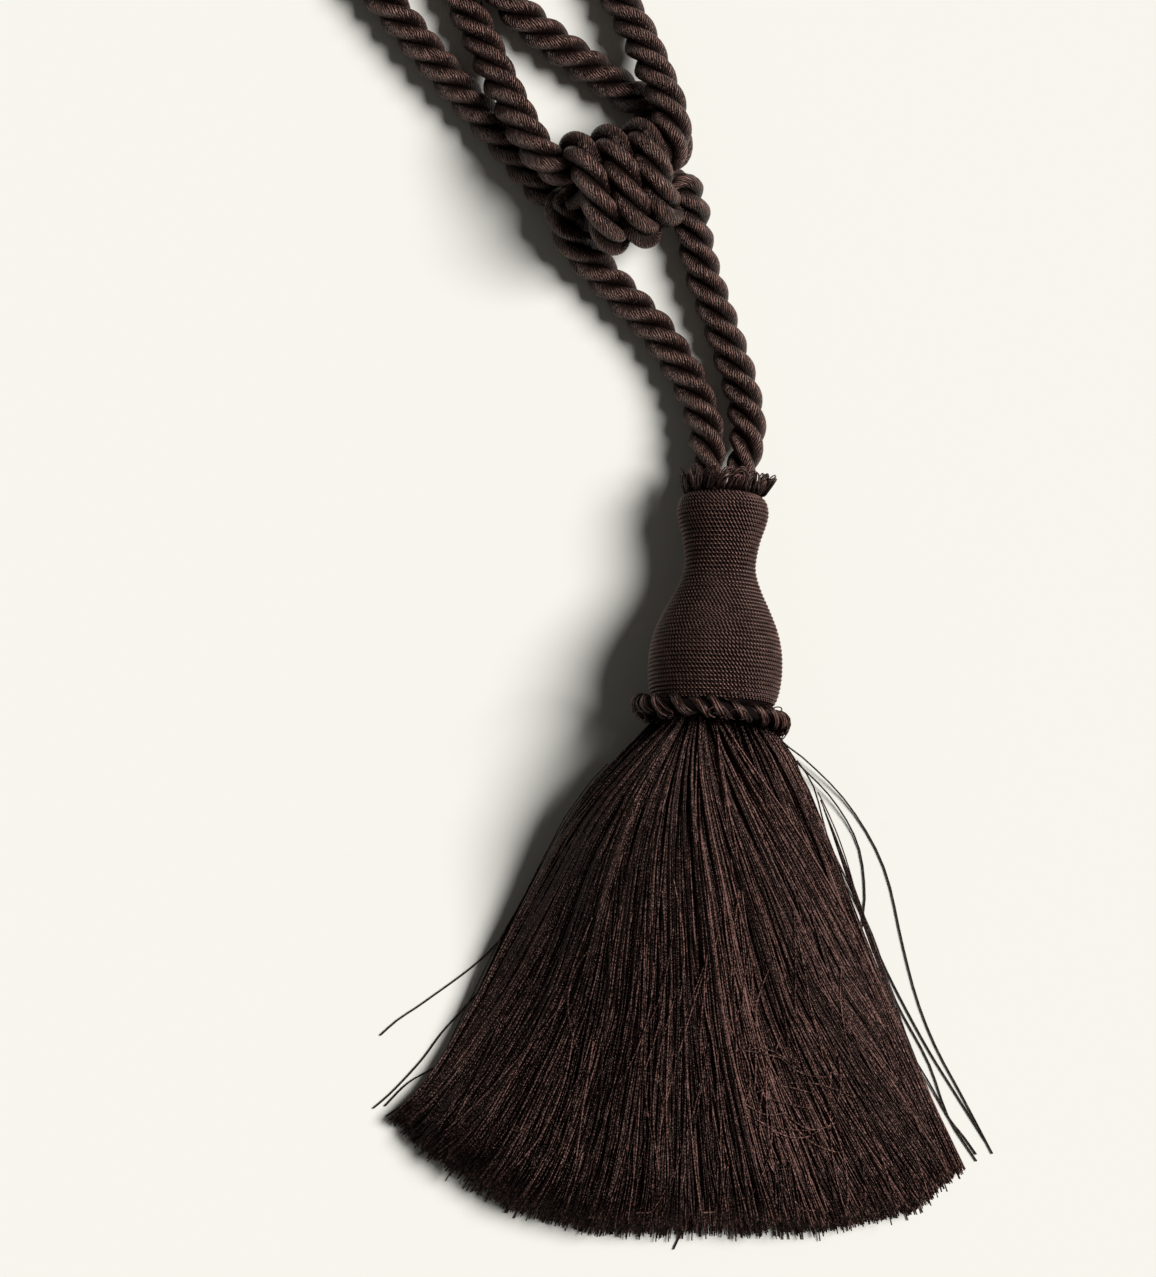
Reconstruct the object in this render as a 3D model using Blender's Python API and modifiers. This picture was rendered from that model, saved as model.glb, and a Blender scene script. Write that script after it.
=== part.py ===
"""Curtain tieback tassel: a knotted three-ply rope, a wound head, two looped ruches and a cut yarn skirt.

The tassel lies on its side on a flat surface at z = 0. The origin is the middle of the small flat spot on
which the head's belly rests, +Y runs up the tassel towards the rope, and +Z points up from the surface.
"""
import math
import random

import bmesh
import bpy
import numpy as np
from mathutils import Euler, Matrix, Vector

MM = 0.001
GAP = 0.3 * MM

# Driving dimensions, in metres
ROPE_RADIUS = 5.0 * MM
ROPE_LAY = 22.0 * MM
ROPE_PLIES = 3
ROPE_GROOVE = 0.66
ROPE_RINGS_PER_LAY = 7

HEAD_TILT = math.radians(7.0)
HEAD_LEAN = math.radians(3.1)
HEAD_SEGMENTS = 30
HEAD_SINK = 0.35 * MM
HEAD_TOP = 56.5 * MM

RUFF_BOTTOM_RADIUS = 18.4 * MM
RUFF_BOTTOM_TUBE = 2.5 * MM
RUFF_BOTTOM_DEEP = 2.9 * MM
RUFF_BOTTOM_KNOBS = 24
RUFF_TOP_RADIUS = 10.05 * MM
RUFF_TOP_TUBE = 2.35 * MM
RUFF_TOP_DEEP = 3.7 * MM
RUFF_TOP_KNOBS = 16

BACKING_RADIUS = 14.6 * MM
BACKING_THICKNESS = 2.0 * MM
LOCKS_ROUND = 80
LOCK_RING = 3.2 * MM
LOCK_FILL = 0.84
LOCK_RAGGED = 1.2 * MM
LOCK_INSIDE = 1.0 - 2.0 * LOCK_RING / BACKING_RADIUS
LOCK_OUTSIDE = 1.0 - (1.0 - LOCK_FILL) / 2.0 * LOCK_RING / BACKING_RADIUS
HEM_EDGE_HEIGHT = 3.6 * MM

KNOT_CENTRE = Vector((-24.8, 124.8, 14.8)) * MM
KNOT_SLOPE = math.radians(12.0)
KNOT_PITCH = 8.9 * MM
KNOT_ROPE_RADIUS = 4.4 * MM
KNOT_WIDE = 12.8 * MM
KNOT_TALL = 10.55 * MM
KNOT_FROM = -70.0
KNOT_TO = 925.0
KNOT_MIDDLE = 390.0
KNOT_TUCK_FROM = 720.0
KNOT_TUCK = 0.36
KNOT_TUCK_BACK = 2.2 * MM
CORE_LONG = 12.8 * MM

# The head's outline in mm, from its lower rim up: (distance up the axis, radius)
HEAD_OUTLINE = (
    (0.0, 15.2), (2.0, 16.5), (5.0, 17.3), (9.5, 17.7), (14.8, 17.4), (20.0, 16.2), (25.3, 14.0),
    (30.6, 11.4), (35.0, 9.8), (38.5, 9.5), (43.8, 10.3), (49.0, 11.8), (52.0, 12.1), (54.8, 11.2),
    (56.5, 8.8),
)

# The skirt's hem as seen from above: (share of the way across, x mm, y mm)
HEM_LINE = (
    (0.00, -86.5, -121.5), (0.10, -75.5, -132.5), (0.25, -54.0, -146.3), (0.50, -13.5, -152.6),
    (0.75, 28.5, -151.2), (0.90, 52.0, -145.2), (1.00, 66.0, -133.0),
)

# The skirt from root to hem: (share of the spread, how flat the section is, crown height mm, floor mm,
# and how far the left and the right edge bulge beyond a straight fan, mm)
SKIRT_SECTIONS = (
    (0.16, 0.35, 30.5, 1.2, 6.2, 3.2),
    (0.37, 0.78, 22.0, 0.0, 5.0, 4.6),
    (0.69, 1.00, 14.0, 0.0, -1.0, 3.4),
    (1.00, 1.00, 9.5, 0.0, 0.0, 0.0),
)

# The rope's routes in mm: x, y and the height of its middle above the surface
ARM_LEFT = (
    (-42.6, 121.9, 5.2), (-47.7, 127.6, 5.1), (-53.8, 135.0, 5.1), (-64.9, 147.8, 5.1),
    (-75.2, 159.5, 5.1), (-87.1, 174.2, 5.1), (-100.3, 191.7, 5.1), (-110.6, 211.2, 5.1),
    (-118.0, 232.3, 5.1), (-122.2, 256.1, 5.1), (-122.2, 279.8, 5.1), (-116.2, 301.0, 5.1),
    (-103.8, 311.5, 5.1), (-91.1, 302.3, 5.1), (-85.3, 279.8, 5.1), (-84.2, 253.4, 5.1),
    (-83.2, 227.0, 5.1), (-79.5, 205.9, 5.1), (-73.3, 189.0, 5.1), (-66.6, 174.2, 5.1),
    (-61.4, 163.2, 6.5), (-57.0, 153.1, 9.7), (-53.2, 145.2, 12.8), (-49.2, 137.2, 15.8),
    (-44.6, 130.8, 17.3), (-39.6, 127.4, 17.1),
)
ARM_RIGHT = (
    (-10.2, 133.2, 7.4), (-11.6, 139.0, 5.8), (-16.4, 145.6, 5.1), (-23.7, 150.1, 5.1),
    (-31.2, 155.3, 5.1), (-41.7, 162.7, 5.1), (-54.0, 173.6, 6.2), (-61.4, 187.4, 6.0),
    (-65.5, 205.9, 5.1), (-67.6, 227.0, 5.1), (-68.6, 253.4, 5.1), (-67.8, 279.8, 5.1),
    (-61.5, 302.3, 5.1), (-47.5, 314.2, 5.1), (-33.5, 303.6, 5.1), (-27.7, 279.8, 5.1),
    (-29.3, 253.4, 5.1), (-32.6, 227.0, 5.1), (-33.0, 200.6, 5.1), (-29.6, 184.8, 5.1),
    (-25.0, 174.2, 5.3), (-19.4, 163.7, 8.4), (-14.6, 153.1, 12.9), (-11.0, 144.7, 16.2),
    (-9.2, 137.2, 18.0), (-9.6, 130.9, 18.4),
)
LEG_LEFT = (
    (-40.2, 120.6, 11.6), (-39.8, 116.8, 10.6), (-38.2, 112.6, 8.6), (-35.2, 108.0, 6.6),
    (-29.7, 101.9, 5.1), (-22.4, 94.2, 5.1), (-15.2, 86.6, 5.1), (-9.8, 78.7, 5.3),
    (-5.6, 70.8, 6.2), (-2.8, 62.3, 7.8), (-1.7, 54.1, 9.9), (-1.8, 44.1, 11.3),
)
LEG_RIGHT = (
    (-9.2, 125.2, 12.4), (-7.1, 121.9, 10.1), (-6.0, 117.6, 7.5), (-5.2, 111.4, 5.5),
    (-3.1, 102.4, 5.1), (0.3, 92.4, 5.1), (3.8, 82.4, 5.1), (6.5, 73.9, 5.4),
    (8.3, 65.5, 6.5), (8.7, 58.1, 8.4), (7.6, 52.3, 9.9), (6.3, 44.1, 11.3),
)

# Surface colours, linear, and roughness
SATIN_YARN = (0.026, 0.013, 0.012)
WOUND_CORD = (0.034, 0.017, 0.015)
LOOPED_YARN = (0.020, 0.010, 0.009)


def clear_scene():
    for item in list(bpy.data.objects):
        bpy.data.objects.remove(item)


def make_collection(name):
    group = bpy.data.collections.new(name)
    bpy.context.scene.collection.children.link(group)
    return group


def yarn_material(name, colour, roughness):
    material = bpy.data.materials.new(name)
    material.use_nodes = True
    shader = material.node_tree.nodes["Principled BSDF"]
    shader.inputs["Base Color"].default_value = (*colour, 1.0)
    shader.inputs["Roughness"].default_value = roughness
    shader.inputs["Metallic"].default_value = 0.0
    material.diffuse_color = (*colour, 1.0)
    return material


def add_object(name, data, group, colour, roughness=0.6):
    item = bpy.data.objects.new(name, data)
    data.materials.append(yarn_material(name, colour, roughness))
    group.objects.link(item)
    return item


def smooth_path(points, step):
    """A Catmull-Rom curve through the points, read off again at equal steps along its length."""
    knots = [Vector(p) for p in points]
    knots = [2 * knots[0] - knots[1], *knots, 2 * knots[-1] - knots[-2]]
    fine = []
    for a, b, c, d in zip(knots, knots[1:], knots[2:], knots[3:]):
        for k in range(24):
            t = k / 24
            fine.append(0.5 * (2 * b + (c - a) * t + (2 * a - 5 * b + 4 * c - d) * t ** 2
                               + (3 * b - a - 3 * c + d) * t ** 3))
    fine.append(knots[-2])
    fine = np.array(fine)
    along = np.concatenate(([0.0], np.cumsum(np.linalg.norm(np.diff(fine, axis=0), axis=1))))
    count = max(2, round(along[-1] / step) + 1)
    marks = np.linspace(0.0, along[-1], count)
    places = np.column_stack([np.interp(marks, along, fine[:, axis]) for axis in range(3)])
    return marks, places


def rope_section(guides):
    """The rope's cut end: three round plies, each with two crest points and a groove between them."""
    curve = bpy.data.curves.new("rope_section", "CURVE")
    curve.dimensions = "2D"
    spline = curve.splines.new("POLY")
    spline.points.add(3 * ROPE_PLIES - 1)
    spline.use_cyclic_u = True
    for ply in range(ROPE_PLIES):
        for place, (turn, reach) in enumerate(((-0.22, 1.0), (0.22, 1.0), (0.5, ROPE_GROOVE))):
            angle = -2 * math.pi * (ply + turn) / ROPE_PLIES
            spline.points[3 * ply + place].co = (reach * math.cos(angle), reach * math.sin(angle), 0.0, 1.0)
    section = bpy.data.objects.new("rope_section", curve)
    section.hide_render = True
    section.display_type = "WIRE"
    guides.objects.link(section)
    return section


def taper(distance, length, full):
    """How thick the rope is, as a share, at a distance from an end that is squeezed into its seat."""
    if full >= 1.0:
        return 1.0
    share = min(1.0, distance / length)
    return full + (1.0 - full) * share * share * (3.0 - 2.0 * share)


def lay_rope(name, marks, places, radius, ends, section, group):
    """A twisted rope along the places; ends holds (length, share) of the squeeze at its start and end."""
    curve = bpy.data.curves.new(name, "CURVE")
    curve.dimensions = "3D"
    curve.twist_mode = "MINIMUM"
    curve.bevel_mode = "OBJECT"
    curve.bevel_object = section
    curve.use_fill_caps = True
    spline = curve.splines.new("POLY")
    spline.points.add(len(places) - 1)
    for mark, place, point in zip(marks, places, spline.points):
        point.co = (*place, 1.0)
        point.tilt = -2 * math.pi * mark / ROPE_LAY
        point.radius = radius * taper(mark, *ends[0]) * taper(marks[-1] - mark, *ends[1])
    rope = add_object(name, curve, group, SATIN_YARN)
    along_plies = rope.modifiers.new("along_plies", "TRIANGULATE")
    along_plies.quad_method = "SHORTEST_DIAGONAL"
    return rope


def rope_on_route(name, route, ends, section, group):
    marks, places = smooth_path([Vector(p) * MM for p in route], ROPE_LAY / ROPE_RINGS_PER_LAY)
    return lay_rope(name, marks, places, ROPE_RADIUS, ends, section, group)


def knot_wraps(section, group):
    """Three turns of rope round the knot's core, leaning with the winding; the last one is tucked in."""
    along = Vector((math.cos(KNOT_SLOPE), math.sin(KNOT_SLOPE), 0.0))
    across = Vector((-math.sin(KNOT_SLOPE), math.cos(KNOT_SLOPE), 0.0))
    up = Vector((0.0, 0.0, 1.0))
    turn = []
    for degrees in np.arange(KNOT_FROM, KNOT_TO + 1.0, 15.0):
        angle = math.radians(degrees)
        tuck = max(0.0, (degrees - KNOT_TUCK_FROM) / (KNOT_TO - KNOT_TUCK_FROM))
        girth = 1.0 - KNOT_TUCK * tuck ** 1.5
        shift = (degrees - KNOT_MIDDLE) / 360.0 * KNOT_PITCH - KNOT_TUCK_BACK * tuck ** 2
        turn.append(KNOT_CENTRE + along * shift + across * (KNOT_WIDE * girth * math.cos(angle))
                    + up * (KNOT_TALL * girth * math.sin(angle)))
    marks, places = smooth_path(turn, ROPE_LAY / ROPE_RINGS_PER_LAY)
    squeeze = (8.0 * MM, 0.7)
    return lay_rope("cord_knot", marks, places, KNOT_ROPE_RADIUS, (squeeze, squeeze), section, group)


def knot_core(group):
    """The rope ends that run through the wraps, pulled into one bundle."""
    clear = KNOT_ROPE_RADIUS + GAP
    mesh = bpy.data.meshes.new("cord_knot_core")
    body = bmesh.new()
    bmesh.ops.create_uvsphere(body, u_segments=12, v_segments=8, radius=1.0)
    size = Matrix.Diagonal((CORE_LONG, KNOT_WIDE - clear, KNOT_TALL - clear, 1.0))
    turn = Matrix.Rotation(KNOT_SLOPE, 4, "Z")
    bmesh.ops.transform(body, matrix=Matrix.Translation(KNOT_CENTRE) @ turn @ size, verts=body.verts)
    body.to_mesh(mesh)
    body.free()
    return add_object("cord_knot_core", mesh, group, SATIN_YARN)


def head_frame():
    """The head's own frame in the part: its lower rim at the origin and its axis along local +Z.

    The belly's lowest point sits above the part's origin, sunk by the depth of the flat spot.
    """
    spin = Euler((-math.pi / 2 - HEAD_TILT, 0.0, -HEAD_LEAN)).to_matrix().to_4x4()
    heights = np.linspace(0.0, HEAD_TOP, 400)
    ups, radii = np.array(HEAD_OUTLINE).T * MM
    lows = -heights * math.sin(HEAD_TILT) - np.interp(heights, ups, radii) * math.cos(HEAD_TILT)
    lowest = int(np.argmin(lows))
    side = np.interp(heights[lowest], ups, radii) * math.sin(HEAD_TILT)
    reach = heights[lowest] * math.cos(HEAD_TILT) - side
    rim = Vector((-math.sin(HEAD_LEAN) * reach, -math.cos(HEAD_LEAN) * reach, -lows[lowest] - HEAD_SINK))
    return Matrix.Translation(rim) @ spin


def turned_head(frame, group, guides):
    """The wooden mould with its winding, turned from one outline, with a small flat spot to lie on."""
    mesh = bpy.data.meshes.new("head")
    outline = [(0.0, HEAD_OUTLINE[-1][0]), *((r, up) for up, r in reversed(HEAD_OUTLINE)), (0.0, 0.0)]
    body = bmesh.new()
    points = [body.verts.new((r * MM, 0.0, up * MM)) for r, up in outline]
    for a, b in zip(points, points[1:]):
        body.edges.new((a, b))
    body.to_mesh(mesh)
    body.free()
    head = add_object("head", mesh, group, WOUND_CORD)
    head.matrix_world = frame
    turning = head.modifiers.new("turning", "SCREW")
    turning.steps = HEAD_SEGMENTS
    turning.render_steps = HEAD_SEGMENTS
    turning.use_merge_vertices = True
    turning.merge_threshold = 0.00005
    size = 60.0 * MM
    bpy.ops.mesh.primitive_cube_add(size=size, location=(0.0, 0.0, -size / 2))
    floor = bpy.context.object
    floor.name = "flat_spot"
    floor.hide_render = True
    floor.display_type = "WIRE"
    for holder in list(floor.users_collection):
        holder.objects.unlink(floor)
    guides.objects.link(floor)
    flat = head.modifiers.new("flat_spot", "BOOLEAN")
    flat.object = floor
    flat.operation = "DIFFERENCE"
    flat.solver = "EXACT"
    return head


def ruche(name, frame, up, radius, tube, deep, knobs, group):
    """A ring of bunched yarn loops, lumpy all round and pressed flat where it meets the surface."""
    mesh = bpy.data.meshes.new(name)
    body = bmesh.new()
    ring = Matrix.Translation((radius, 0.0, 0.0)) @ Matrix.Rotation(math.pi / 2, 4, "X")
    bmesh.ops.create_circle(body, segments=6, radius=tube, matrix=ring)
    bmesh.ops.spin(body, geom=body.verts[:] + body.edges[:], axis=(0.0, 0.0, 1.0), cent=(0.0, 0.0, 0.0),
                   steps=3 * knobs, angle=2 * math.pi, use_merge=True)
    bmesh.ops.remove_doubles(body, verts=body.verts, dist=0.00005)
    for vert in body.verts:
        angle = math.atan2(vert.co.y, vert.co.x)
        swell = 0.76 + 0.24 * abs(math.cos(knobs * angle / 2))
        reach = radius + (math.hypot(vert.co.x, vert.co.y) - radius) * swell
        rise = vert.co.z / tube * deep * (0.86 + 0.14 * swell)
        vert.co = frame @ Vector((reach * math.cos(angle), reach * math.sin(angle), up + rise))
        vert.co.z = max(vert.co.z, 0.0)
    if body.calc_volume(signed=True) < 0.0:
        bmesh.ops.reverse_faces(body, faces=body.faces)
    body.to_mesh(mesh)
    body.free()
    return add_object(name, mesh, group, LOOPED_YARN)


def hem_point(across):
    shares, xs, ys = np.array(HEM_LINE).T
    return Vector((np.interp(across, shares, xs) * MM, np.interp(across, shares, ys) * MM, 0.0))


def blend(a, b, share):
    return a + (b - a) * share


def skirt_point(angle, depth, section, root_middle):
    """Where a yarn lies: angle runs from the left edge over the crown, depth is 1 at the outside."""
    spread, flat, crown, floor, left_bulge, right_bulge = section
    half_turn = angle / math.pi if angle <= math.pi else 2.0 - angle / math.pi
    inner = 1.0 - (1.0 - depth) * 0.12
    across = blend(0.5 - 0.5 * depth * math.cos(angle), 0.5 + (half_turn - 0.5) * inner, flat)
    root = root_middle + Vector((2.0 * (across - 0.5) * BACKING_RADIUS, 0.0, 0.0))
    lean = 2.0 * across - 1.0
    bow = (left_bulge if lean < 0.0 else right_bulge) * MM * lean
    place = root.lerp(hem_point(across), spread) + Vector((bow, 0.0, 0.0))
    edge = min(HEM_EDGE_HEIGHT, crown * MM)
    dome = edge + (crown * MM - edge) * (1.0 - abs(2.0 * across - 1.0) ** 2.2)
    level = math.copysign(min(1.0, 3.0 * abs(math.sin(angle))) ** 0.5, math.sin(angle))
    packed = 0.06 + 0.94 * (depth - LOCK_INSIDE) / (LOCK_OUTSIDE - LOCK_INSIDE)
    round_z = blend(floor * MM, crown * MM, 0.5 + 0.5 * depth * math.sin(angle))
    flat_z = blend(floor * MM, max(dome, floor * MM), 0.5 + 0.5 * packed * level)
    place.z = blend(round_z, flat_z, flat)
    return place


def skirt_locks(frame, group):
    """The skirt: a bound band under the head, and two rings of locks that fan out from it to the hem."""
    chance = random.Random(7)
    mesh = bpy.data.meshes.new("skirt")
    body = bmesh.new()
    names = body.faces.layers.int.new("lock")
    band = frame @ Matrix.Translation((0.0, 0.0, -GAP - BACKING_THICKNESS / 2))
    bmesh.ops.create_cone(body, cap_ends=True, segments=LOCKS_ROUND, radius1=BACKING_RADIUS,
                          radius2=BACKING_RADIUS, depth=BACKING_THICKNESS)
    cap = min(body.faces, key=lambda face: face.calc_center_median().z)
    cells = []
    for _ in range(2):
        ring = bmesh.ops.inset_region(body, faces=[cap], thickness=LOCK_RING, use_even_offset=True)
        cells.extend(ring["faces"])
    corners = {}
    for number, cell in enumerate(cells, start=1):
        cell[names] = number
        spots = [(math.atan2(-v.co.y, -v.co.x) % (2 * math.pi), v.co.xy.length / BACKING_RADIUS)
                 for v in cell.verts]
        if max(a for a, _ in spots) - min(a for a, _ in spots) > math.pi:
            spots = [(a + 2 * math.pi if a < math.pi else a, d) for a, d in spots]
        middle = (sum(a for a, _ in spots) / len(spots), sum(d for _, d in spots) / len(spots))
        ragged = chance.uniform(-LOCK_RAGGED, LOCK_RAGGED)
        corners[number] = ([(blend(middle[0], a, LOCK_FILL), blend(middle[1], d, LOCK_FILL))
                            for a, d in spots], ragged)
    bmesh.ops.transform(body, matrix=band, verts=body.verts)
    root_middle = band @ Vector((0.0, 0.0, -BACKING_THICKNESS / 2))
    root_middle.z = 0.0
    for section in SKIRT_SECTIONS:
        cells = bmesh.ops.extrude_discrete_faces(body, faces=cells)["faces"]
        for cell in cells:
            spots, ragged = corners[cell[names]]
            for vert, (angle, depth) in zip(cell.verts, spots):
                place = skirt_point(angle % (2 * math.pi), depth, section, root_middle)
                away = (place - root_middle).normalized()
                away.z = 0.0
                vert.co = place + away * ragged * section[0] ** 2
    body.to_mesh(mesh)
    body.free()
    return add_object("skirt", mesh, group, SATIN_YARN)


def build():
    clear_scene()
    tassel = make_collection("drapery_tassel")
    guides = make_collection("guides")
    frame = head_frame()
    turned_head(frame, tassel, guides)
    ruche("ruff_bottom", frame, -1.0 * MM, RUFF_BOTTOM_RADIUS, RUFF_BOTTOM_TUBE, RUFF_BOTTOM_DEEP,
          RUFF_BOTTOM_KNOBS, tassel)
    ruche("ruff_top", frame, HEAD_TOP + GAP + RUFF_TOP_DEEP, RUFF_TOP_RADIUS, RUFF_TOP_TUBE, RUFF_TOP_DEEP,
          RUFF_TOP_KNOBS, tassel)
    skirt_locks(frame, tassel)
    section = rope_section(guides)
    seat_in_knot = (12.0 * MM, 0.64)
    seat_in_head = (24.0 * MM, 0.65)
    rope_on_route("cord_leg_left", LEG_LEFT, (seat_in_knot, seat_in_head), section, tassel)
    rope_on_route("cord_leg_right", LEG_RIGHT, (seat_in_knot, seat_in_head), section, tassel)
    rope_on_route("cord_arm_left", ARM_LEFT, (seat_in_knot, seat_in_knot), section, tassel)
    rope_on_route("cord_arm_right", ARM_RIGHT, (seat_in_knot, seat_in_knot), section, tassel)
    knot_wraps(section, tassel)
    knot_core(tassel)


build()
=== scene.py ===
import math

import bpy
import numpy as np
from mathutils import Euler, Matrix, Vector


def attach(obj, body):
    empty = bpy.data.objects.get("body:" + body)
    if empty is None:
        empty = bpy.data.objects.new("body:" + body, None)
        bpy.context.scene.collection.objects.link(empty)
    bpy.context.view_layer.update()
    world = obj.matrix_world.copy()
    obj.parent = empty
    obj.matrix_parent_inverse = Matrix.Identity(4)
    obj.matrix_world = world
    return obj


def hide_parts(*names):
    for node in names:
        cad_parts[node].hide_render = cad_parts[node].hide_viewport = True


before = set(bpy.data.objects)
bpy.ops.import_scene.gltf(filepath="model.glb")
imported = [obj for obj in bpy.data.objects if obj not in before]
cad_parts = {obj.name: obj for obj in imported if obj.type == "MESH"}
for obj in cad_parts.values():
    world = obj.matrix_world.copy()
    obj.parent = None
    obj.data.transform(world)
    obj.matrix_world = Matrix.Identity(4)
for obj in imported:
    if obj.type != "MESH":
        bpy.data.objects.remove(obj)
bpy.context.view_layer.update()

MM = 0.001

# The view: straight down on the tassel, through a long lens, as such goods are photographed.
# The photograph's frame is 1156 by 1277 pixels, and one pixel is 0.264 mm on the surface.
PHOTO_WIDTH = 1156
PHOTO_HEIGHT = 1277
PIXEL = 0.264 * MM
ORIGIN_PIXEL = (714.4, 658.8)
LENS = 120.0
SENSOR = 36.0
VIEW_PLANE = 8 * MM
CLIP_NEAR = 0.05
CLIP_FAR = 20.0

camera_data = bpy.data.cameras.new("copy_stand")
camera_data.lens = LENS
camera_data.sensor_width = SENSOR
camera_data.clip_start = CLIP_NEAR
camera_data.clip_end = CLIP_FAR
camera = bpy.data.objects.new("copy_stand", camera_data)
camera.location = ((PHOTO_WIDTH / 2 - ORIGIN_PIXEL[0]) * PIXEL,
                   (ORIGIN_PIXEL[1] - PHOTO_HEIGHT / 2) * PIXEL,
                   VIEW_PLANE + PHOTO_HEIGHT * PIXEL * LENS / SENSOR)
bpy.context.scene.collection.objects.link(camera)
bpy.context.scene.camera = camera


# The surface: a sheet of matt cream card, wide enough to run out of every view.
# It is smooth, so it gives the eye only the tassel's soft shadow.
CARD_COLOUR = "#F8F6EE"
CARD_SIZE = 6.0
CARD_LEVEL = -0.2 * MM


def linear(code):
    """An sRGB hex colour as linear red, green, blue and alpha."""
    parts = [int(code[k:k + 2], 16) / 255 for k in (1, 3, 5)]
    return (*[c / 12.92 if c <= 0.04045 else ((c + 0.055) / 1.055) ** 2.4 for c in parts], 1.0)


def new_material(name, **surface):
    """A Principled material with the surface's constant values; returns it, its tree and its shader."""
    material = bpy.data.materials.new(name)
    material.use_nodes = True
    shader = material.node_tree.nodes["Principled BSDF"]
    for socket, value in surface.items():
        shader.inputs[socket.replace("_", " ")].default_value = value
    return material, material.node_tree, shader


card, _, _ = new_material(
    "matt_card", Base_Color=linear(CARD_COLOUR), Roughness=0.85, Specular_IOR_Level=0.15)
bpy.ops.mesh.primitive_plane_add(size=CARD_SIZE, location=(0.0, 0.0, CARD_LEVEL))
surface = bpy.context.object
surface.name = "surface"
surface.data.materials.append(card)

# The light: one large soft box far off to the right and a little above, which throws the shadow to the left,
# in a dim pale room.
KEY_BEARING = math.radians(16.0)
KEY_ELEVATION = math.radians(46.0)
KEY_SOFTNESS = math.radians(31.0)
KEY_STRENGTH = 4.1
ROOM_COLOUR = "#F8F6EE"
ROOM_STRENGTH = 0.06

lamp = bpy.data.lights.new("soft_box", "SUN")
lamp.energy = KEY_STRENGTH
lamp.angle = KEY_SOFTNESS
soft_box = bpy.data.objects.new("soft_box", lamp)
soft_box.location = (math.cos(KEY_BEARING), math.sin(KEY_BEARING), math.tan(KEY_ELEVATION))
soft_box.rotation_euler = soft_box.location.to_track_quat("Z", "Y").to_euler()
bpy.context.scene.collection.objects.link(soft_box)

room = bpy.data.worlds.new("room")
room.use_nodes = True
room.node_tree.nodes["Background"].inputs["Color"].default_value = linear(ROOM_COLOUR)
room.node_tree.nodes["Background"].inputs["Strength"].default_value = ROOM_STRENGTH
bpy.context.scene.world = room
bpy.context.scene.view_settings.view_transform = "Standard"


# The rope: three plies of rayon yarn laid up to the left, 10 mm thick, with a lay of 22 mm. Each ply is
# twisted the other way, so its fine yarns run almost straight along the rope and shine as satin.
ROPE_RADIUS = 5.0 * MM
ROPE_LAY = 22.0 * MM
ROPE_PLIES = 3
RING_STEP = 0.85 * MM
PLY_CENTRE = 0.50
PLY_REACH = 0.52
PLY_WEDGE = math.radians(58.0)
PLY_INNER = 0.02
GROOVE_REACH = 0.56
PLY_POINTS = 16
YARN_SLANT = 1.18
YARN_WIDTH = 0.70
YARN_WANDER = 1.1
GROOVE_TONE = 0.10
CREST_POWER = 0.8
CURVE_STEPS = 24

ARM_LEFT = (
    (-42.6, 121.9, 5.2), (-47.7, 127.6, 5.1), (-53.8, 135.0, 5.1), (-64.9, 147.8, 5.1),
    (-75.2, 159.5, 5.1), (-87.1, 174.2, 5.1), (-100.3, 191.7, 5.1), (-110.6, 211.2, 5.1),
    (-118.0, 232.3, 5.1), (-122.2, 256.1, 5.1), (-122.2, 279.8, 5.1), (-116.2, 301.0, 5.1),
    (-103.8, 311.5, 5.1), (-91.1, 302.3, 5.1), (-85.3, 279.8, 5.1), (-84.2, 253.4, 5.1),
    (-83.2, 227.0, 5.1), (-79.5, 205.9, 5.1), (-73.3, 189.0, 5.1), (-66.6, 174.2, 5.1),
    (-61.4, 163.2, 6.5), (-57.0, 153.1, 9.7), (-53.2, 145.2, 12.8), (-49.2, 137.2, 15.8),
    (-44.6, 130.8, 17.3), (-39.6, 127.4, 17.1),
)
ARM_RIGHT = (
    (-10.2, 133.2, 7.4), (-11.6, 139.0, 5.8), (-16.4, 145.6, 5.1), (-23.7, 150.1, 5.1),
    (-31.2, 155.3, 5.1), (-41.7, 162.7, 5.1), (-54.0, 173.6, 6.2), (-61.4, 187.4, 6.0),
    (-65.5, 205.9, 5.1), (-67.6, 227.0, 5.1), (-68.6, 253.4, 5.1), (-67.8, 279.8, 5.1),
    (-61.5, 302.3, 5.1), (-47.5, 314.2, 5.1), (-33.5, 303.6, 5.1), (-27.7, 279.8, 5.1),
    (-29.3, 253.4, 5.1), (-32.6, 227.0, 5.1), (-33.0, 200.6, 5.1), (-29.6, 184.8, 5.1),
    (-25.0, 174.2, 5.3), (-19.6, 163.7, 8.4), (-15.4, 153.1, 12.9), (-12.4, 144.7, 16.2),
    (-11.2, 137.2, 18.0), (-12.4, 131.2, 18.4),
)
LEG_LEFT = (
    (-40.2, 120.6, 11.6), (-39.8, 116.8, 10.6), (-38.2, 112.6, 8.6), (-35.2, 108.0, 6.6),
    (-29.7, 101.9, 5.1), (-22.4, 94.2, 5.1), (-15.2, 86.6, 5.1), (-9.8, 78.7, 5.3),
    (-5.6, 70.8, 6.2), (-2.8, 62.3, 7.8), (-1.7, 54.1, 9.9), (-1.8, 44.1, 11.3),
)
LEG_RIGHT = (
    (-9.2, 125.2, 12.4), (-7.1, 121.9, 10.1), (-6.0, 117.6, 7.5), (-5.2, 111.4, 5.5),
    (-3.1, 102.4, 5.1), (0.3, 92.4, 5.1), (3.8, 82.4, 5.1), (6.5, 73.9, 5.4),
    (8.3, 65.5, 6.5), (8.7, 58.1, 8.4), (7.6, 52.3, 9.9), (6.3, 44.1, 11.3),
)
KNOT_CENTRE = Vector((-24.9, 123.7, 14.8)) * MM
KNOT_REACH = 6.0 * MM
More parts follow.
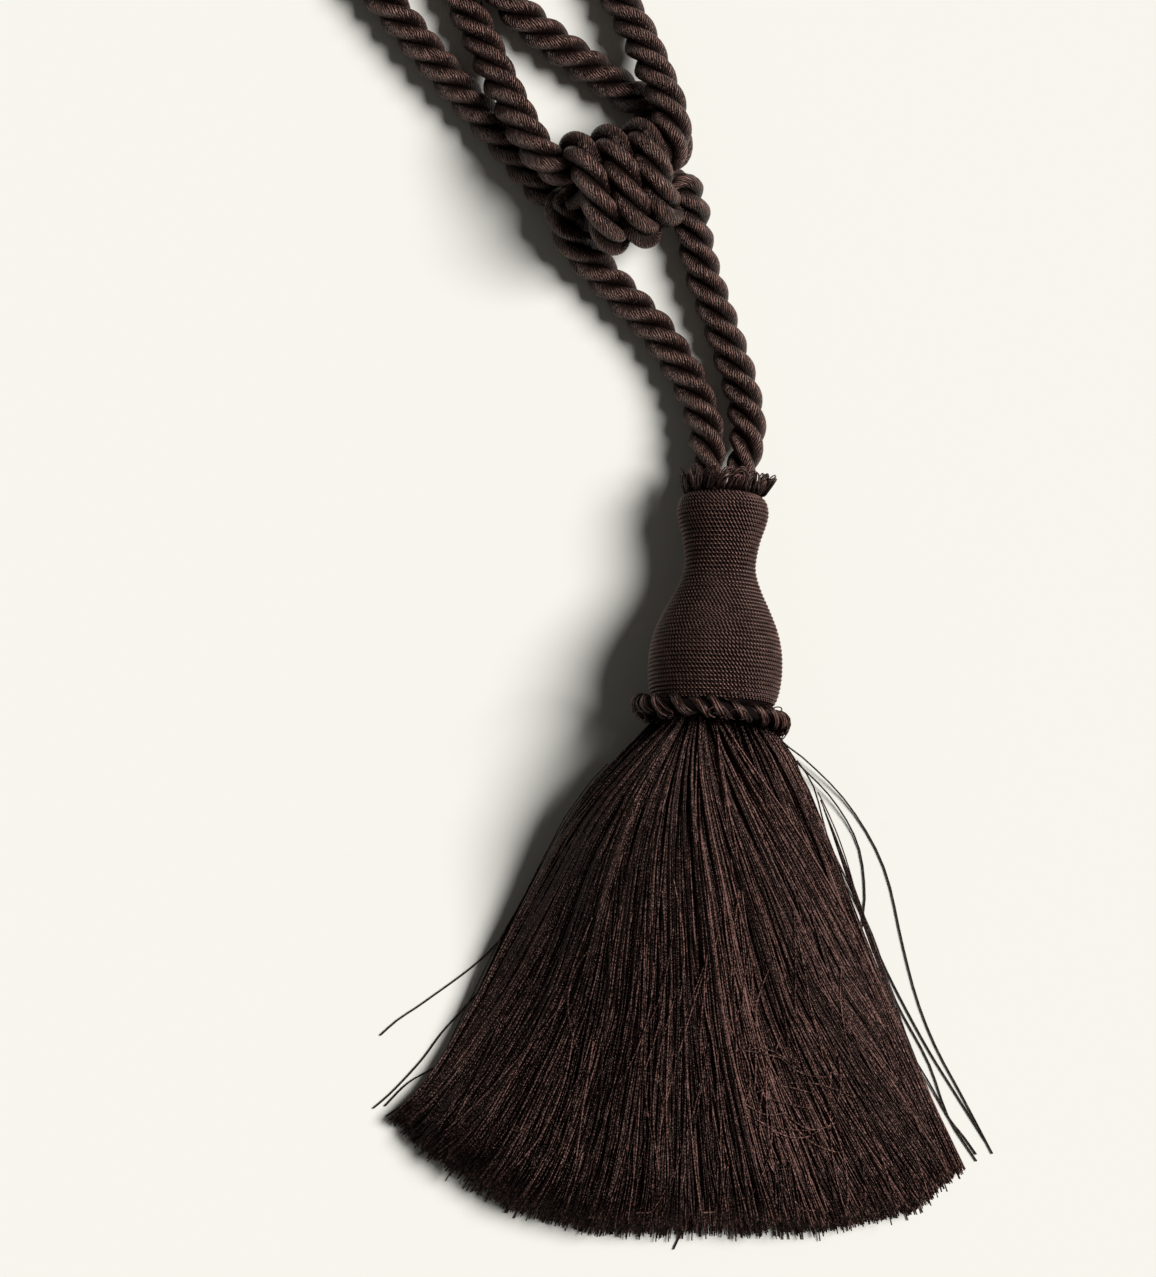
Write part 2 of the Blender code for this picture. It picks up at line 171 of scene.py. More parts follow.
SEAT_IN_KNOT = (12.0 * MM, 0.64)
SEAT_IN_HEAD = (18.0 * MM, 0.76)


def add_node(tree, kind, settings=None, **links):
    """Adds a shader node; settings are its properties or constant inputs, links name its linked inputs."""
    node = tree.nodes.new(kind)
    for key, value in (settings or {}).items():
        if isinstance(key, int) or key in node.inputs:
            node.inputs[key].default_value = value
        else:
            setattr(node, key, value)
    for key, source in links.items():
        slot = int(key[1:]) if key[0] == "i" and key[1:].isdigit() else key.replace("_", " ")
        tree.links.new(source, node.inputs[slot])
    return node.outputs


def length_along(line):
    """How far along the line each of its places is."""
    return np.concatenate(([0.0], np.cumsum(np.linalg.norm(np.diff(line, axis=0), axis=1))))


def smooth_path(points, step):
    """A Catmull-Rom curve through the points, read off again at equal steps along its length."""
    knots = [Vector(p) for p in points]
    knots = [2 * knots[0] - knots[1], *knots, 2 * knots[-1] - knots[-2]]
    fine = []
    for a, b, c, d in zip(knots, knots[1:], knots[2:], knots[3:]):
        for k in range(CURVE_STEPS):
            t = k / CURVE_STEPS
            fine.append(0.5 * (2 * b + (c - a) * t + (2 * a - 5 * b + 4 * c - d) * t ** 2
                               + (3 * b - a - 3 * c + d) * t ** 3))
    fine.append(knots[-2])
    fine = np.array(fine)
    along = length_along(fine)
    marks = np.linspace(0.0, along[-1], max(2, round(along[-1] / step) + 1))
    return marks, np.column_stack([np.interp(marks, along, fine[:, axis]) for axis in range(3)])


def path_frames(places):
    """Two directions square to the path at each place, carried along it without turning."""
    ways = np.gradient(places, axis=0)
    ways /= np.linalg.norm(ways, axis=1, keepdims=True)
    side = np.cross(ways[0], (0.0, 0.0, 1.0))
    side /= np.linalg.norm(side)
    sides = []
    for way in ways:
        side = side - way * np.dot(side, way)
        side = side / np.linalg.norm(side)
        sides.append(side)
    sides = np.array(sides)
    return sides, np.cross(ways, sides)


def taper(distance, squeeze):
    """How thick the rope is, as a share, at distances from an end that is squeezed into its seat."""
    length, full = squeeze
    share = np.clip(distance / length, 0.0, 1.0)
    return full + (1.0 - full) * share * share * (3.0 - 2.0 * share)


def tube_mesh(name, rings, marks, tones):
    """One mesh of closed tubes. rings: tube, ring, point, xyz; marks: the same points' two yarn measures.

    marks has one more point in each ring than rings, so that the last face of a ring has its own measure.
    tones says how light the colour is at each point, painted light and shade included. It has the shape tube,
    ring, point, or 1 in place of any of them.
    """
    tubes, count, around, _ = rings.shape
    first = (np.arange(tubes)[:, None, None] * count + np.arange(count - 1)[None, :, None]) * around
    here = np.arange(around)[None, None, :]
    after = (here + 1) % around
    quads = np.stack([first + here, first + after, first + around + after, first + around + here], axis=-1)
    start = (np.arange(tubes) * count * around)[:, None] + np.arange(around)[None, ::-1]
    end = (np.arange(tubes) * count * around + (count - 1) * around)[:, None] + np.arange(around)[None, :]
    corners = np.concatenate([quads.reshape(-1), start.reshape(-1), end.reshape(-1)])
    sizes = np.concatenate([np.full(quads.size // 4, 4), np.full(2 * tubes, around)])
    mesh = bpy.data.meshes.new(name)
    mesh.vertices.add(tubes * count * around)
    mesh.vertices.foreach_set("co", rings.astype(np.float32).reshape(-1))
    mesh.loops.add(len(corners))
    mesh.loops.foreach_set("vertex_index", corners.astype(np.int32))
    mesh.polygons.add(len(sizes))
    mesh.polygons.foreach_set("loop_start", (np.cumsum(sizes) - sizes).astype(np.int32))
    mesh.update(calc_edges=True)
    side = np.stack([marks[:, :-1, :-1], marks[:, :-1, 1:], marks[:, 1:, 1:], marks[:, 1:, :-1]], axis=3)
    caps = [marks[:, 0, :-1][:, ::-1], marks[:, -1, :-1]]
    flat = np.concatenate([side.reshape(-1, 2), caps[0].reshape(-1, 2), caps[1].reshape(-1, 2)])
    layer = mesh.uv_layers.new(name="yarn")
    layer.uv.foreach_set("vector", flat.astype(np.float32).reshape(-1))
    tone = mesh.attributes.new("tone", "FLOAT", "POINT")
    each_point = np.broadcast_to(tones, (tubes, count, around)).astype(np.float32)
    tone.data.foreach_set("value", each_point.reshape(-1))
    mesh.shade_smooth()
    return mesh


def add_piece(name, mesh, material, slot, *nodes):
    """Links the piece with its material, lets it ride with the tassel and hides the nodes it stands for; slot
    is not used.
    """
    piece = bpy.data.objects.new(name, mesh)
    bpy.context.scene.collection.objects.link(piece)
    mesh.materials.append(material)
    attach(piece, "root")
    if nodes:
        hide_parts(*nodes)
    return piece


def ply_section():
    """One ply's cut end about the rope's middle: angle and radius of its points, a round held in a wedge."""
    points = []
    for k in range(PLY_POINTS):
        turn = 2 * math.pi * k / PLY_POINTS
        x = PLY_CENTRE + PLY_REACH * math.cos(turn)
        y = PLY_REACH * math.sin(turn)
        x = max(x, PLY_INNER)
        angle = math.atan2(y, x)
        reach = math.hypot(x, y)
        held = max(-PLY_WEDGE, min(PLY_WEDGE, angle))
        reach *= math.cos(abs(angle) - abs(held))
        points.append((held, reach))
    return np.array(points)


def lay_rope(name, marks, places, radius, lay, ends, material, *nodes):
    """The three plies round the route, as one mesh, with each yarn's measure round and along the rope."""
    sides, ups = path_frames(places)
    section = ply_section()
    thick = radius * taper(marks, ends[0]) * taper(marks[-1] - marks, ends[1])
    phase = -2 * math.pi * marks / lay
    rings = []
    measures = []
    for ply in range(ROPE_PLIES):
        angle = phase[:, None] + 2 * math.pi * ply / ROPE_PLIES + section[None, :, 0]
        reach = thick[:, None] * section[None, :, 1]
        spot = (places[:, None, :] + sides[:, None, :] * (reach * np.cos(angle))[:, :, None]
                + ups[:, None, :] * (reach * np.sin(angle))[:, :, None])
        spot[:, :, 2] = np.maximum(spot[:, :, 2], 0.0)
        rings.append(spot)
        turned = np.concatenate([section[:, 0], section[:1, 0]])
        across = radius / MM * (turned[None, :] + YARN_SLANT * phase[:, None])
        measures.append(np.stack([across, np.broadcast_to(marks[:, None] / MM, across.shape)], axis=-1))
    # Painted light and shade: each ply is lightest on its crest and painted dark in the grooves between
    # plies.
    crest = np.clip((section[:, 1] - GROOVE_REACH) / (PLY_CENTRE + PLY_REACH - GROOVE_REACH), 0.0, 1.0)
    tones = GROOVE_TONE + (1.0 - GROOVE_TONE) * crest ** CREST_POWER
    mesh = tube_mesh(name, np.array(rings), np.array(measures), tones[None, None, :])
    return add_piece(name, mesh, material, "satin_rope", *nodes)


# Rayon satin rope yarn: a dark brown dye with a reddish light, and fine round yarns side by side. They are
# drawn 0.7 mm wide, which is as fine as the view shows. Each ply's crest is painted light, and its grooves
# are painted dark as the shade between plies.
SATIN_LIGHT = "#F0C8BC"
satin_rope, tree, shader = new_material(
    "twisted_rayon_rope", Roughness=0.38, Specular_IOR_Level=0.55, Anisotropic=0.5,
    Specular_Tint=linear(SATIN_LIGHT))
yarn_uv = add_node(tree, "ShaderNodeUVMap", {"uv_map": "yarn"})["UV"]
split = add_node(tree, "ShaderNodeSeparateXYZ", Vector=yarn_uv)
crest = add_node(tree, "ShaderNodeAttribute", {"attribute_name": "tone"})["Fac"]
wander = add_node(tree, "ShaderNodeTexNoise", {"Scale": 0.9, "Detail": 2.0}, Vector=yarn_uv)["Fac"]
shifted = add_node(tree, "ShaderNodeMath", {"operation": "MULTIPLY_ADD", 1: YARN_WANDER}, i0=wander,
                   i2=split["X"])[0]
# The fine yarns are painted as light ridges with dark lines between them, a painted highlight and shade; the
# same ridges also give the bump.
round_yarn = add_node(tree, "ShaderNodeMath", {"operation": "MULTIPLY", 1: math.pi / YARN_WIDTH},
                      i0=shifted)[0]
wave = add_node(tree, "ShaderNodeMath", {"operation": "SINE"}, i0=round_yarn)[0]
ridge = add_node(tree, "ShaderNodeMath", {"operation": "ABSOLUTE"}, i0=wave)[0]
stretch = add_node(tree, "ShaderNodeMapping", {"Scale": (2.6, 0.35, 1.0)}, Vector=yarn_uv)["Vector"]
streak = add_node(tree, "ShaderNodeTexNoise", {"Scale": 1.0, "Detail": 3.0, "Roughness": 0.6},
                  Vector=stretch)["Fac"]
mixed = add_node(tree, "ShaderNodeMath", {"operation": "MULTIPLY"}, i0=ridge, i1=streak)[0]
# The crest's painted light and the grooves' painted shade lighten or darken the yarn lines.
painted_crest_light = add_node(tree, "ShaderNodeMath", {"operation": "MULTIPLY"}, i0=mixed, i1=crest)[0]
tint = add_node(tree, "ShaderNodeValToRGB", Fac=painted_crest_light)
ramp = tree.nodes[-1].color_ramp
ramp.elements[0].position = 0.02
ramp.elements[0].color = linear("#080403")
ramp.elements[1].position = 0.60
ramp.elements[1].color = linear("#8C6A60")
ramp.elements.new(0.32).color = linear("#1F1411")
tree.links.new(tint["Color"], shader.inputs["Base Color"])
relief = add_node(tree, "ShaderNodeBump", {"Strength": 1.0, "Distance": 0.0003}, Height=ridge)["Normal"]
tree.links.new(relief, shader.inputs["Normal"])
grain = add_node(tree, "ShaderNodeTangent", {"direction_type": "UV_MAP", "uv_map": "yarn"})["Tangent"]
tree.links.new(grain, shader.inputs["Tangent"])


def tuck_in(route, both_ends):
    """The route in metres, carried on from its start, or from both ends, some way towards the knot."""
    points = [Vector(p) * MM for p in route]
    points.insert(0, points[0] + (KNOT_CENTRE - points[0]).normalized() * KNOT_REACH)
    if both_ends:
        points.append(points[-1] + (KNOT_CENTRE - points[-1]).normalized() * KNOT_REACH)
    return points


ropes = {}
for rope_name, route, ends in (
        ("rope_leg_left", LEG_LEFT, (SEAT_IN_KNOT, SEAT_IN_HEAD)),
        ("rope_leg_right", LEG_RIGHT, (SEAT_IN_KNOT, SEAT_IN_HEAD)),
        ("rope_arm_left", ARM_LEFT, (SEAT_IN_KNOT, SEAT_IN_KNOT)),
        ("rope_arm_right", ARM_RIGHT, (SEAT_IN_KNOT, SEAT_IN_KNOT))):
    marks, places = smooth_path(tuck_in(route, "arm" in rope_name), RING_STEP)
    rope = lay_rope(rope_name, marks, places, ROPE_RADIUS, ROPE_LAY, ends, satin_rope,
                    rope_name.replace("rope_", "cord_"))
    ropes[rope_name] = (rope, places, float(marks[-1]))


# The knot: a barrel knot, three turns of the same rope pulled tight round the rope inside them. It gathers
# both arms and both legs, and lies with its barrel almost across the tassel.
KNOT_SLOPE = math.radians(12.0)
KNOT_PITCH = 8.4 * MM
KNOT_ROPE_RADIUS = 4.65 * MM
KNOT_LAY = 25.0 * MM
KNOT_WIDE = 12.6 * MM
KNOT_TALL = 10.4 * MM
KNOT_FROM = -110.0
KNOT_TO = 940.0
KNOT_MIDDLE = 390.0
KNOT_TUCK_FROM = 720.0
KNOT_TUCK = 0.36
KNOT_TUCK_BACK = 2.2 * MM
KNOT_STEP = 15.0
KNOT_SQUEEZE = (8.0 * MM, 0.7)
CORE_RADIUS = 6.4 * MM
CORE_REACH = 15.0 * MM
CORE_SQUEEZE = (9.0 * MM, 0.5)

along = Vector((math.cos(KNOT_SLOPE), math.sin(KNOT_SLOPE), 0.0))
across = Vector((-math.sin(KNOT_SLOPE), math.cos(KNOT_SLOPE), 0.0))
turn = []
for degrees in np.arange(KNOT_FROM, KNOT_TO + 1.0, KNOT_STEP):
    angle = math.radians(degrees)
    tuck = max(0.0, (degrees - KNOT_TUCK_FROM) / (KNOT_TO - KNOT_TUCK_FROM))
    girth = 1.0 - KNOT_TUCK * tuck ** 1.5
    shift = (degrees - KNOT_MIDDLE) / 360.0 * KNOT_PITCH - KNOT_TUCK_BACK * tuck ** 2
    turn.append(KNOT_CENTRE + along * shift + across * (KNOT_WIDE * girth * math.cos(angle))
                + Vector((0.0, 0.0, KNOT_TALL * girth * math.sin(angle))))
marks, places = smooth_path(turn, RING_STEP)
knot = lay_rope("rope_knot", marks, places, KNOT_ROPE_RADIUS, KNOT_LAY, (KNOT_SQUEEZE, KNOT_SQUEEZE),
                satin_rope, "cord_knot")
core_ends = [KNOT_CENTRE - along * CORE_REACH, KNOT_CENTRE, KNOT_CENTRE + along * CORE_REACH]
marks, places = smooth_path(core_ends, RING_STEP)
knot_core = lay_rope("rope_in_knot", marks, places, CORE_RADIUS, ROPE_LAY, (CORE_SQUEEZE, CORE_SQUEEZE),
                     satin_rope, "cord_knot_core")

# The knot's wraps and the rope inside them are listed beside the two legs, which they join to the arms;
# the loop only reads each rope back and does nothing more with them.
for rope_name, knotted in (("rope_leg_left", [knot]), ("rope_leg_right", [knot_core]),
                           ("rope_arm_left", []), ("rope_arm_right", [])):
    rope, places, length = ropes[rope_name]


# The head: a turned softwood mould in a vase shape. It is wound row on row, from rim to top, with a fine
# two-ply rayon cord, so its surface is a close ribbing of small slanting dashes.
HEAD_TILT = math.radians(7.0)
HEAD_LEAN = math.radians(3.1)
HEAD_SINK = 0.35 * MM
# (height above the lower rim, radius), in mm
HEAD_OUTLINE = (
    (0.0, 15.2), (2.0, 16.5), (5.0, 17.3), (9.5, 17.7), (14.8, 17.4), (20.0, 16.2), (25.3, 14.0),
    (30.6, 11.4), (35.0, 9.8), (38.5, 9.5), (43.8, 10.3), (49.0, 11.8), (52.0, 12.1), (54.8, 11.2),
    (56.5, 8.8),
)
OUTLINE_SAMPLES = 400
OUTLINE_STEP = 0.05 * MM
ROW_PITCH = 1.12 * MM
ROWS_START = 0.5 * MM
WINDING_SAMPLES = 60000
CORD_INSET = 0.64 * MM
CORD_HELIX = 0.30 * MM
CORD_PLY = 0.34 * MM
CORD_PLIES = 2
CORD_LAY = 2.1 * MM
CORD_STEP = 0.35 * MM
CORD_POINTS = 5
CORD_MARK = 0.4
FACING_POWER = 1.3
FACING_LEAST = 0.2
MOULD_INSET = 0.78 * MM
MOULD_POINTS = 64
MOULD_SKIP = 20
MOULD_LOWEST = 0.1 * MM


def head_frame():
    """The head's own frame: its lower rim at the origin and its axis along local +Z."""
    spin = Euler((-math.pi / 2 - HEAD_TILT, 0.0, -HEAD_LEAN)).to_matrix().to_4x4()
    heights = np.linspace(0.0, HEAD_OUTLINE[-1][0] * MM, OUTLINE_SAMPLES)
    ups, radii = np.array(HEAD_OUTLINE).T * MM
    lows = -heights * math.sin(HEAD_TILT) - np.interp(heights, ups, radii) * math.cos(HEAD_TILT)
    lowest = int(np.argmin(lows))
    side = np.interp(heights[lowest], ups, radii) * math.sin(HEAD_TILT)
    reach = heights[lowest] * math.cos(HEAD_TILT) - side
    rim = Vector((-math.sin(HEAD_LEAN) * reach, -math.cos(HEAD_LEAN) * reach, -lows[lowest] - HEAD_SINK))
    return Matrix.Translation(rim) @ spin


def into_frame(matrix, points):
    """The points, however they are arrayed, moved by the matrix."""
    grid = np.array(matrix)
    return points @ grid[:3, :3].T + grid[:3, 3]


head_at = head_frame()
outline_marks, outline = smooth_path([Vector((r, 0.0, up)) * MM for up, r in HEAD_OUTLINE], OUTLINE_STEP)


def mottled_rayon(name, look, patch_size, detail, swing, least, deep, middle, light):
    """Dyed rayon with painted light and shade after the mesh's tone, and a little uneven in tone patch by
    patch.

    swing is how much the patches differ, least the darkest; middle and light are ramp places and colours.
    """
    material, tree, shader = new_material(name, Specular_Tint=linear(SATIN_LIGHT), **look)
    yarn_uv = add_node(tree, "ShaderNodeUVMap", {"uv_map": "yarn"})["UV"]
    tone = add_node(tree, "ShaderNodeAttribute", {"attribute_name": "tone"})["Fac"]
    patch = add_node(tree, "ShaderNodeMapping", {"Scale": patch_size}, Vector=yarn_uv)["Vector"]
    mottle = add_node(tree, "ShaderNodeTexNoise", {"Scale": 1.0, "Detail": detail}, Vector=patch)["Fac"]
    uneven = add_node(tree, "ShaderNodeMath", {"operation": "MULTIPLY_ADD", 1: swing, 2: least}, i0=mottle)[0]
    shade = add_node(tree, "ShaderNodeMath", {"operation": "MULTIPLY"}, i0=uneven, i1=tone)[0]
    tint = add_node(tree, "ShaderNodeValToRGB", Fac=shade)
    ramp = tree.nodes[-1].color_ramp
    ramp.elements[0].color = linear(deep)
    ramp.elements[1].position = light[0]
    ramp.elements[1].color = linear(light[1])
    ramp.elements.new(middle[0]).color = linear(middle[1])
    tree.links.new(tint["Color"], shader.inputs["Base Color"])
    return material


# Fine rayon cord, dyed dark brown: each of its two plies is painted light where it faces out,
# and painted dark as shade where it turns in.
wound_cord = mottled_rayon(
    "wound_two_ply_rayon", {"Roughness": 0.42, "Specular_IOR_Level": 0.38}, (0.8, 0.35, 1.0), 3.0, 1.0, 0.45,
    "#080403", (0.40, "#190E0B"), (0.85, "#A67F75"))

rows_length = outline_marks[-1] - 2 * ROWS_START
turns = rows_length / ROW_PITCH


def winding_line(share):
    """The winding's line at shares of its way, with the directions out from the mould and up its outline."""
    down = ROWS_START + share * rows_length
    bearing = 2 * math.pi * turns * share
    radius_at = np.interp(down, outline_marks, outline[:, 0])
    rise_at = np.interp(down, outline_marks, outline[:, 2])
    slope_r = np.interp(down, outline_marks, np.gradient(outline[:, 0], outline_marks))
    slope_z = np.interp(down, outline_marks, np.gradient(outline[:, 2], outline_marks))
    line = np.column_stack([radius_at * np.cos(bearing), radius_at * np.sin(bearing), rise_at])
    outward = np.column_stack([slope_z * np.cos(bearing), slope_z * np.sin(bearing), -slope_r])
    upward = np.column_stack([slope_r * np.cos(bearing), slope_r * np.sin(bearing), slope_z])
    return line, outward, upward


dense = np.linspace(0.0, 1.0, WINDING_SAMPLES)
wound = length_along(winding_line(dense)[0])
steps = np.linspace(0.0, wound[-1], int(wound[-1] / CORD_STEP))
spiral, outward, upward = winding_line(np.interp(steps, wound, dense))
spiral -= outward * CORD_INSET
ply_turn = np.arange(CORD_POINTS) / CORD_POINTS * 2 * math.pi
measure = np.stack(np.broadcast_arrays(np.arange(CORD_POINTS + 1)[None, :] * CORD_MARK, steps[:, None] / MM),
                   axis=-1)
for ply in range(CORD_PLIES):
    twist = 2 * math.pi * (ply / CORD_PLIES - steps / CORD_LAY)
    centre = (spiral + outward * (CORD_HELIX * np.cos(twist))[:, None]
              + upward * (CORD_HELIX * np.sin(twist))[:, None])
    ring = (centre[:, None, :] + outward[:, None, :] * (CORD_PLY * np.cos(ply_turn))[None, :, None]
            + upward[:, None, :] * (CORD_PLY * np.sin(ply_turn))[None, :, None])
    ring = into_frame(head_at, ring)
    ring[:, :, 2] = np.maximum(ring[:, :, 2], 0.0)
    # Painted light and shade: a ply is light where it faces out and dark where it turns in or lies at its
    # sides.
    painted_facing_light = np.clip(np.cos(ply_turn[None, :] - twist[:, None]), 0.0, 1.0) ** FACING_POWER
    painted_facing_light = painted_facing_light * (FACING_LEAST + (1.0 - FACING_LEAST) * (0.5 + 0.5 * np.cos(twist)))[:, None]
    ply_name = f"head_winding_{ply + 1}"
    add_piece(ply_name, tube_mesh(ply_name, ring[None], measure[None], painted_facing_light[None]), wound_cord,
              "wound_cord", *(["head"] if ply == 0 else []))


def round_the_head(out, bearing, rise):
    """Places in the head's frame, from how far out, at what bearing and how high they are."""
    return np.stack(np.broadcast_arrays(out * np.cos(bearing), out * np.sin(bearing), rise), axis=-1)


mould_ring = np.arange(MOULD_POINTS) / MOULD_POINTS * 2 * math.pi
mould_path = outline[::MOULD_SKIP]
mould = round_the_head(mould_path[:, :1] - MOULD_INSET, mould_ring[None, :], mould_path[:, 2:])
mould = into_frame(head_at, mould)
mould[:, :, 2] = np.maximum(mould[:, :, 2], MOULD_LOWEST)
measure = np.stack(np.meshgrid(np.arange(MOULD_POINTS + 1.0), np.arange(float(len(mould_path)))), axis=-1)
# The mould is painted nearly black, as the shade that shows between the rows of cord.
painted_shade_dark, _, _ = new_material(
    "painted_shade_dark", Base_Color=linear("#0F0807"), Roughness=0.9, Specular_IOR_Level=0.1)
add_piece("head_mould", tube_mesh("head_mould", mould[None], measure[None], 0.0), painted_shade_dark, "wound_cord")


# The ruches: two trimmings of looped rayon thread, sewn round the head. The lower one hides the join of
# head and skirt; its threads are coiled round its band in thick bunches. The upper one stands round the
# rope's hole, a crown of upright loops, one inside the other, in small bunches.
COIL_UP = -1.5 * MM
COIL_RADIUS = 18.0 * MM
COIL_SHIFT = -0.6 * MM
COIL_DROP = 2.4 * MM
COIL_TURNS = 21
COIL_THREADS = 56
COIL_RINGS = 287
COIL_REACH = 2.6 * MM
COIL_DEEP = 2.9 * MM
COIL_SHEAR = 0.7 * MM
COIL_FILL = 0.50
# Waves round the lower ruche: depth, how many to a turn, phase, and how far the phase is a thread's own.
COIL_SWAY = ((0.14, 5, 0.0, 40.0), (0.20, 3, 2.0, 0.0), (0.10, 13, 0.0, 70.0))
COIL_UNEVEN = ((0.55, 6, 1.0, 0.0), (0.35, 15, 3.0, 0.0))
COIL_SWELL = ((0.14, 8, 1.0, 0.0), (0.12, 19, 2.0, 0.0), (0.07, 31, 0.0, 50.0))
COIL_INSIDE = 0.30
COIL_DRAW_IN = 0.22
COIL_SAG_WAVE = 0.4 * MM
COIL_TONE = 0.46
COIL_TONE_CHANCE = 0.32
COIL_DARK_SIDE = 0.08
COIL_FACING_POWER = 3
COIL_EDGE_SHADE = 0.5
BAND_RADIUS = 1.5 * MM
BAND_POINTS = 8
STRAY_LOOPS = 11
STRAY_LOOP_PLACES = 18
STRAY_LOOP_GAP = 0.25
# The least and the most, in mm, of a stray loop's width, height, standing out and hanging out.
STRAY_LOOP_WIDE = (1.2, 2.6)
STRAY_LOOP_TALL = (0.9, 1.8)
STRAY_LOOP_OUT = (1.8, 2.8)
STRAY_LOOP_TIP = (1.4, 2.8)
LOOP_RING_UP = 56.2 * MM
LOOP_RING_RADIUS = 9.5 * MM
LOOP_BUNCHES = 15
LOOPS_A_BUNCH = 17
LOOP_PLACES = 17
LOOP_HEIGHT = 5.8 * MM
LOOP_WIDTH = 3.7 * MM
LOOP_INNERMOST = 0.25
LOOP_LEAST_HEIGHT = 0.42
LOOP_FLARE = 0.26
LOOP_FLARE_RIGHT = 0.46
LOOP_RIGHT_WIDTH = 0.42
LOOP_LEAN = 0.30
LOOP_TWIRL = 0.8
LOOP_TONE = 0.48
LOOP_TONE_CHANCE = 0.26
THREAD_RADIUS = 0.18 * MM
THREAD_START = 0.3
THREAD_MARK = 3.37

# Rayon thread, dyed dark brown and softly twisted, so it shines more than the hard-wound cord.
looped_thread = mottled_rayon(
    "looped_rayon_thread", {"Roughness": 0.40, "Specular_IOR_Level": 0.55}, (0.37, 0.6, 1.0), 2.0, 1.4, 0.3,
    "#090403", (0.42, "#241613"), (1.0, "#8A665D"))


def thread_tubes(lines, radius, points):
    """Round tubes on many lines of equal count: lines is tube, place, xyz; radius is tube, place."""
    ways = np.gradient(lines, axis=1)
    ways /= np.linalg.norm(ways, axis=2, keepdims=True) + 1e-12
    helper = np.where(np.abs(ways[:, :, 2:]) > 0.9, np.array([1.0, 0.0, 0.0]), np.array([0.0, 0.0, 1.0]))
    sides = np.cross(ways, helper)
    sides /= np.linalg.norm(sides, axis=2, keepdims=True) + 1e-12
    ups = np.cross(sides, ways)
    turn = np.arange(points) / points * 2 * math.pi + THREAD_START
    rings = (lines[:, :, None, :] + radius[:, :, None, None]
             * (sides[:, :, None, :] * np.cos(turn)[None, None, :, None]
                + ups[:, :, None, :] * np.sin(turn)[None, None, :, None]))
    lengths = np.concatenate([np.zeros((len(lines), 1)),
                              np.cumsum(np.linalg.norm(np.diff(lines, axis=1), axis=2), axis=1)], axis=1)
    around = THREAD_MARK * np.arange(len(lines))[:, None, None]
    around = around + (np.arange(points + 1) / points)[None, None, :]
    marks = np.stack(np.broadcast_arrays(around, lengths[:, :, None] / MM), axis=-1)
    return rings, marks


def thread_piece(name, lines, points, tones, *nodes):
    """One piece of fine threads along the lines, given in the head's frame and kept above the surface."""
    lines = into_frame(head_at, lines)
    lines[:, :, 2] = np.maximum(lines[:, :, 2], THREAD_RADIUS)
    rings, marks = thread_tubes(lines, np.full(lines.shape[:2], THREAD_RADIUS), points)
    rings[:, :, :, 2] = np.maximum(rings[:, :, :, 2], 0.0)
    mesh = tube_mesh(name, rings, marks, np.clip(tones, 0.0, 1.0)[:, :, None])
    return add_piece(name, mesh, looped_thread, "looped_yarn", *nodes)


def waves(bearing, own, terms):
    """The sum of the waves round the head; own is what sets one thread's phase off from another's."""
    return sum(depth * np.sin(count * bearing + phase + part * own) for depth, count, phase, part in terms)


def sag_at(bearing):
    """How far the lower ruche has slipped down the head, all of it on the head's right."""
    return COIL_DROP * np.clip(np.cos(bearing), 0.0, 1.0) ** 1.5


chance = np.random.default_rng(11)
bearing = np.linspace(0.0, 2 * math.pi, COIL_RINGS)[None, :]
place = chance.uniform(-1.0, 1.0, COIL_THREADS)[:, None]
shell = np.sqrt(chance.uniform(COIL_INSIDE, 1.0, COIL_THREADS))[:, None] * (1.0 - COIL_DRAW_IN * place ** 2)
sway = waves(bearing, shell, COIL_SWAY)
lean = -COIL_TURNS * bearing + waves(bearing, shell, COIL_UNEVEN) + math.pi * COIL_FILL * (place + sway)
swell = 1.0 + waves(bearing, shell, COIL_SWELL)
sag = sag_at(bearing) - COIL_SAG_WAVE * np.sin(2 * bearing + 1.0)
out = COIL_RADIUS + COIL_SHIFT * np.cos(bearing) + COIL_REACH * shell * swell * np.cos(lean)
rise = COIL_UP - sag + COIL_DEEP * shell * swell * np.sin(lean)
coils = round_the_head(out, bearing - COIL_SHEAR * np.sin(lean) / COIL_RADIUS, rise)
# Painted light and shade: a coil is light where it faces out, dark where it turns in and at the band's edges.
painted_facing_light = COIL_DARK_SIDE + (1.0 - COIL_DARK_SIDE) * (0.5 + 0.5 * np.cos(lean)) ** COIL_FACING_POWER
coil_tone = COIL_TONE + chance.normal(0.0, COIL_TONE_CHANCE, COIL_THREADS)[:, None]
coil_tone = coil_tone * painted_facing_light * (1.0 - COIL_EDGE_SHADE * place ** 2)
thread_piece("ruche_bottom", coils, 3, coil_tone, "ruff_bottom")

# The coils lie on a woven band, painted nearly black, which shows as the shade in the gaps between them.
band = round_the_head(COIL_RADIUS + COIL_SHIFT * np.cos(bearing), bearing, COIL_UP - sag)
band = into_frame(head_at, band)
rings, marks = thread_tubes(band, np.full(band.shape[:2], BAND_RADIUS), BAND_POINTS)
add_piece("ruche_bottom_band", tube_mesh("ruche_bottom_band", rings, marks, 0.0), painted_shade_dark, "looped_yarn")

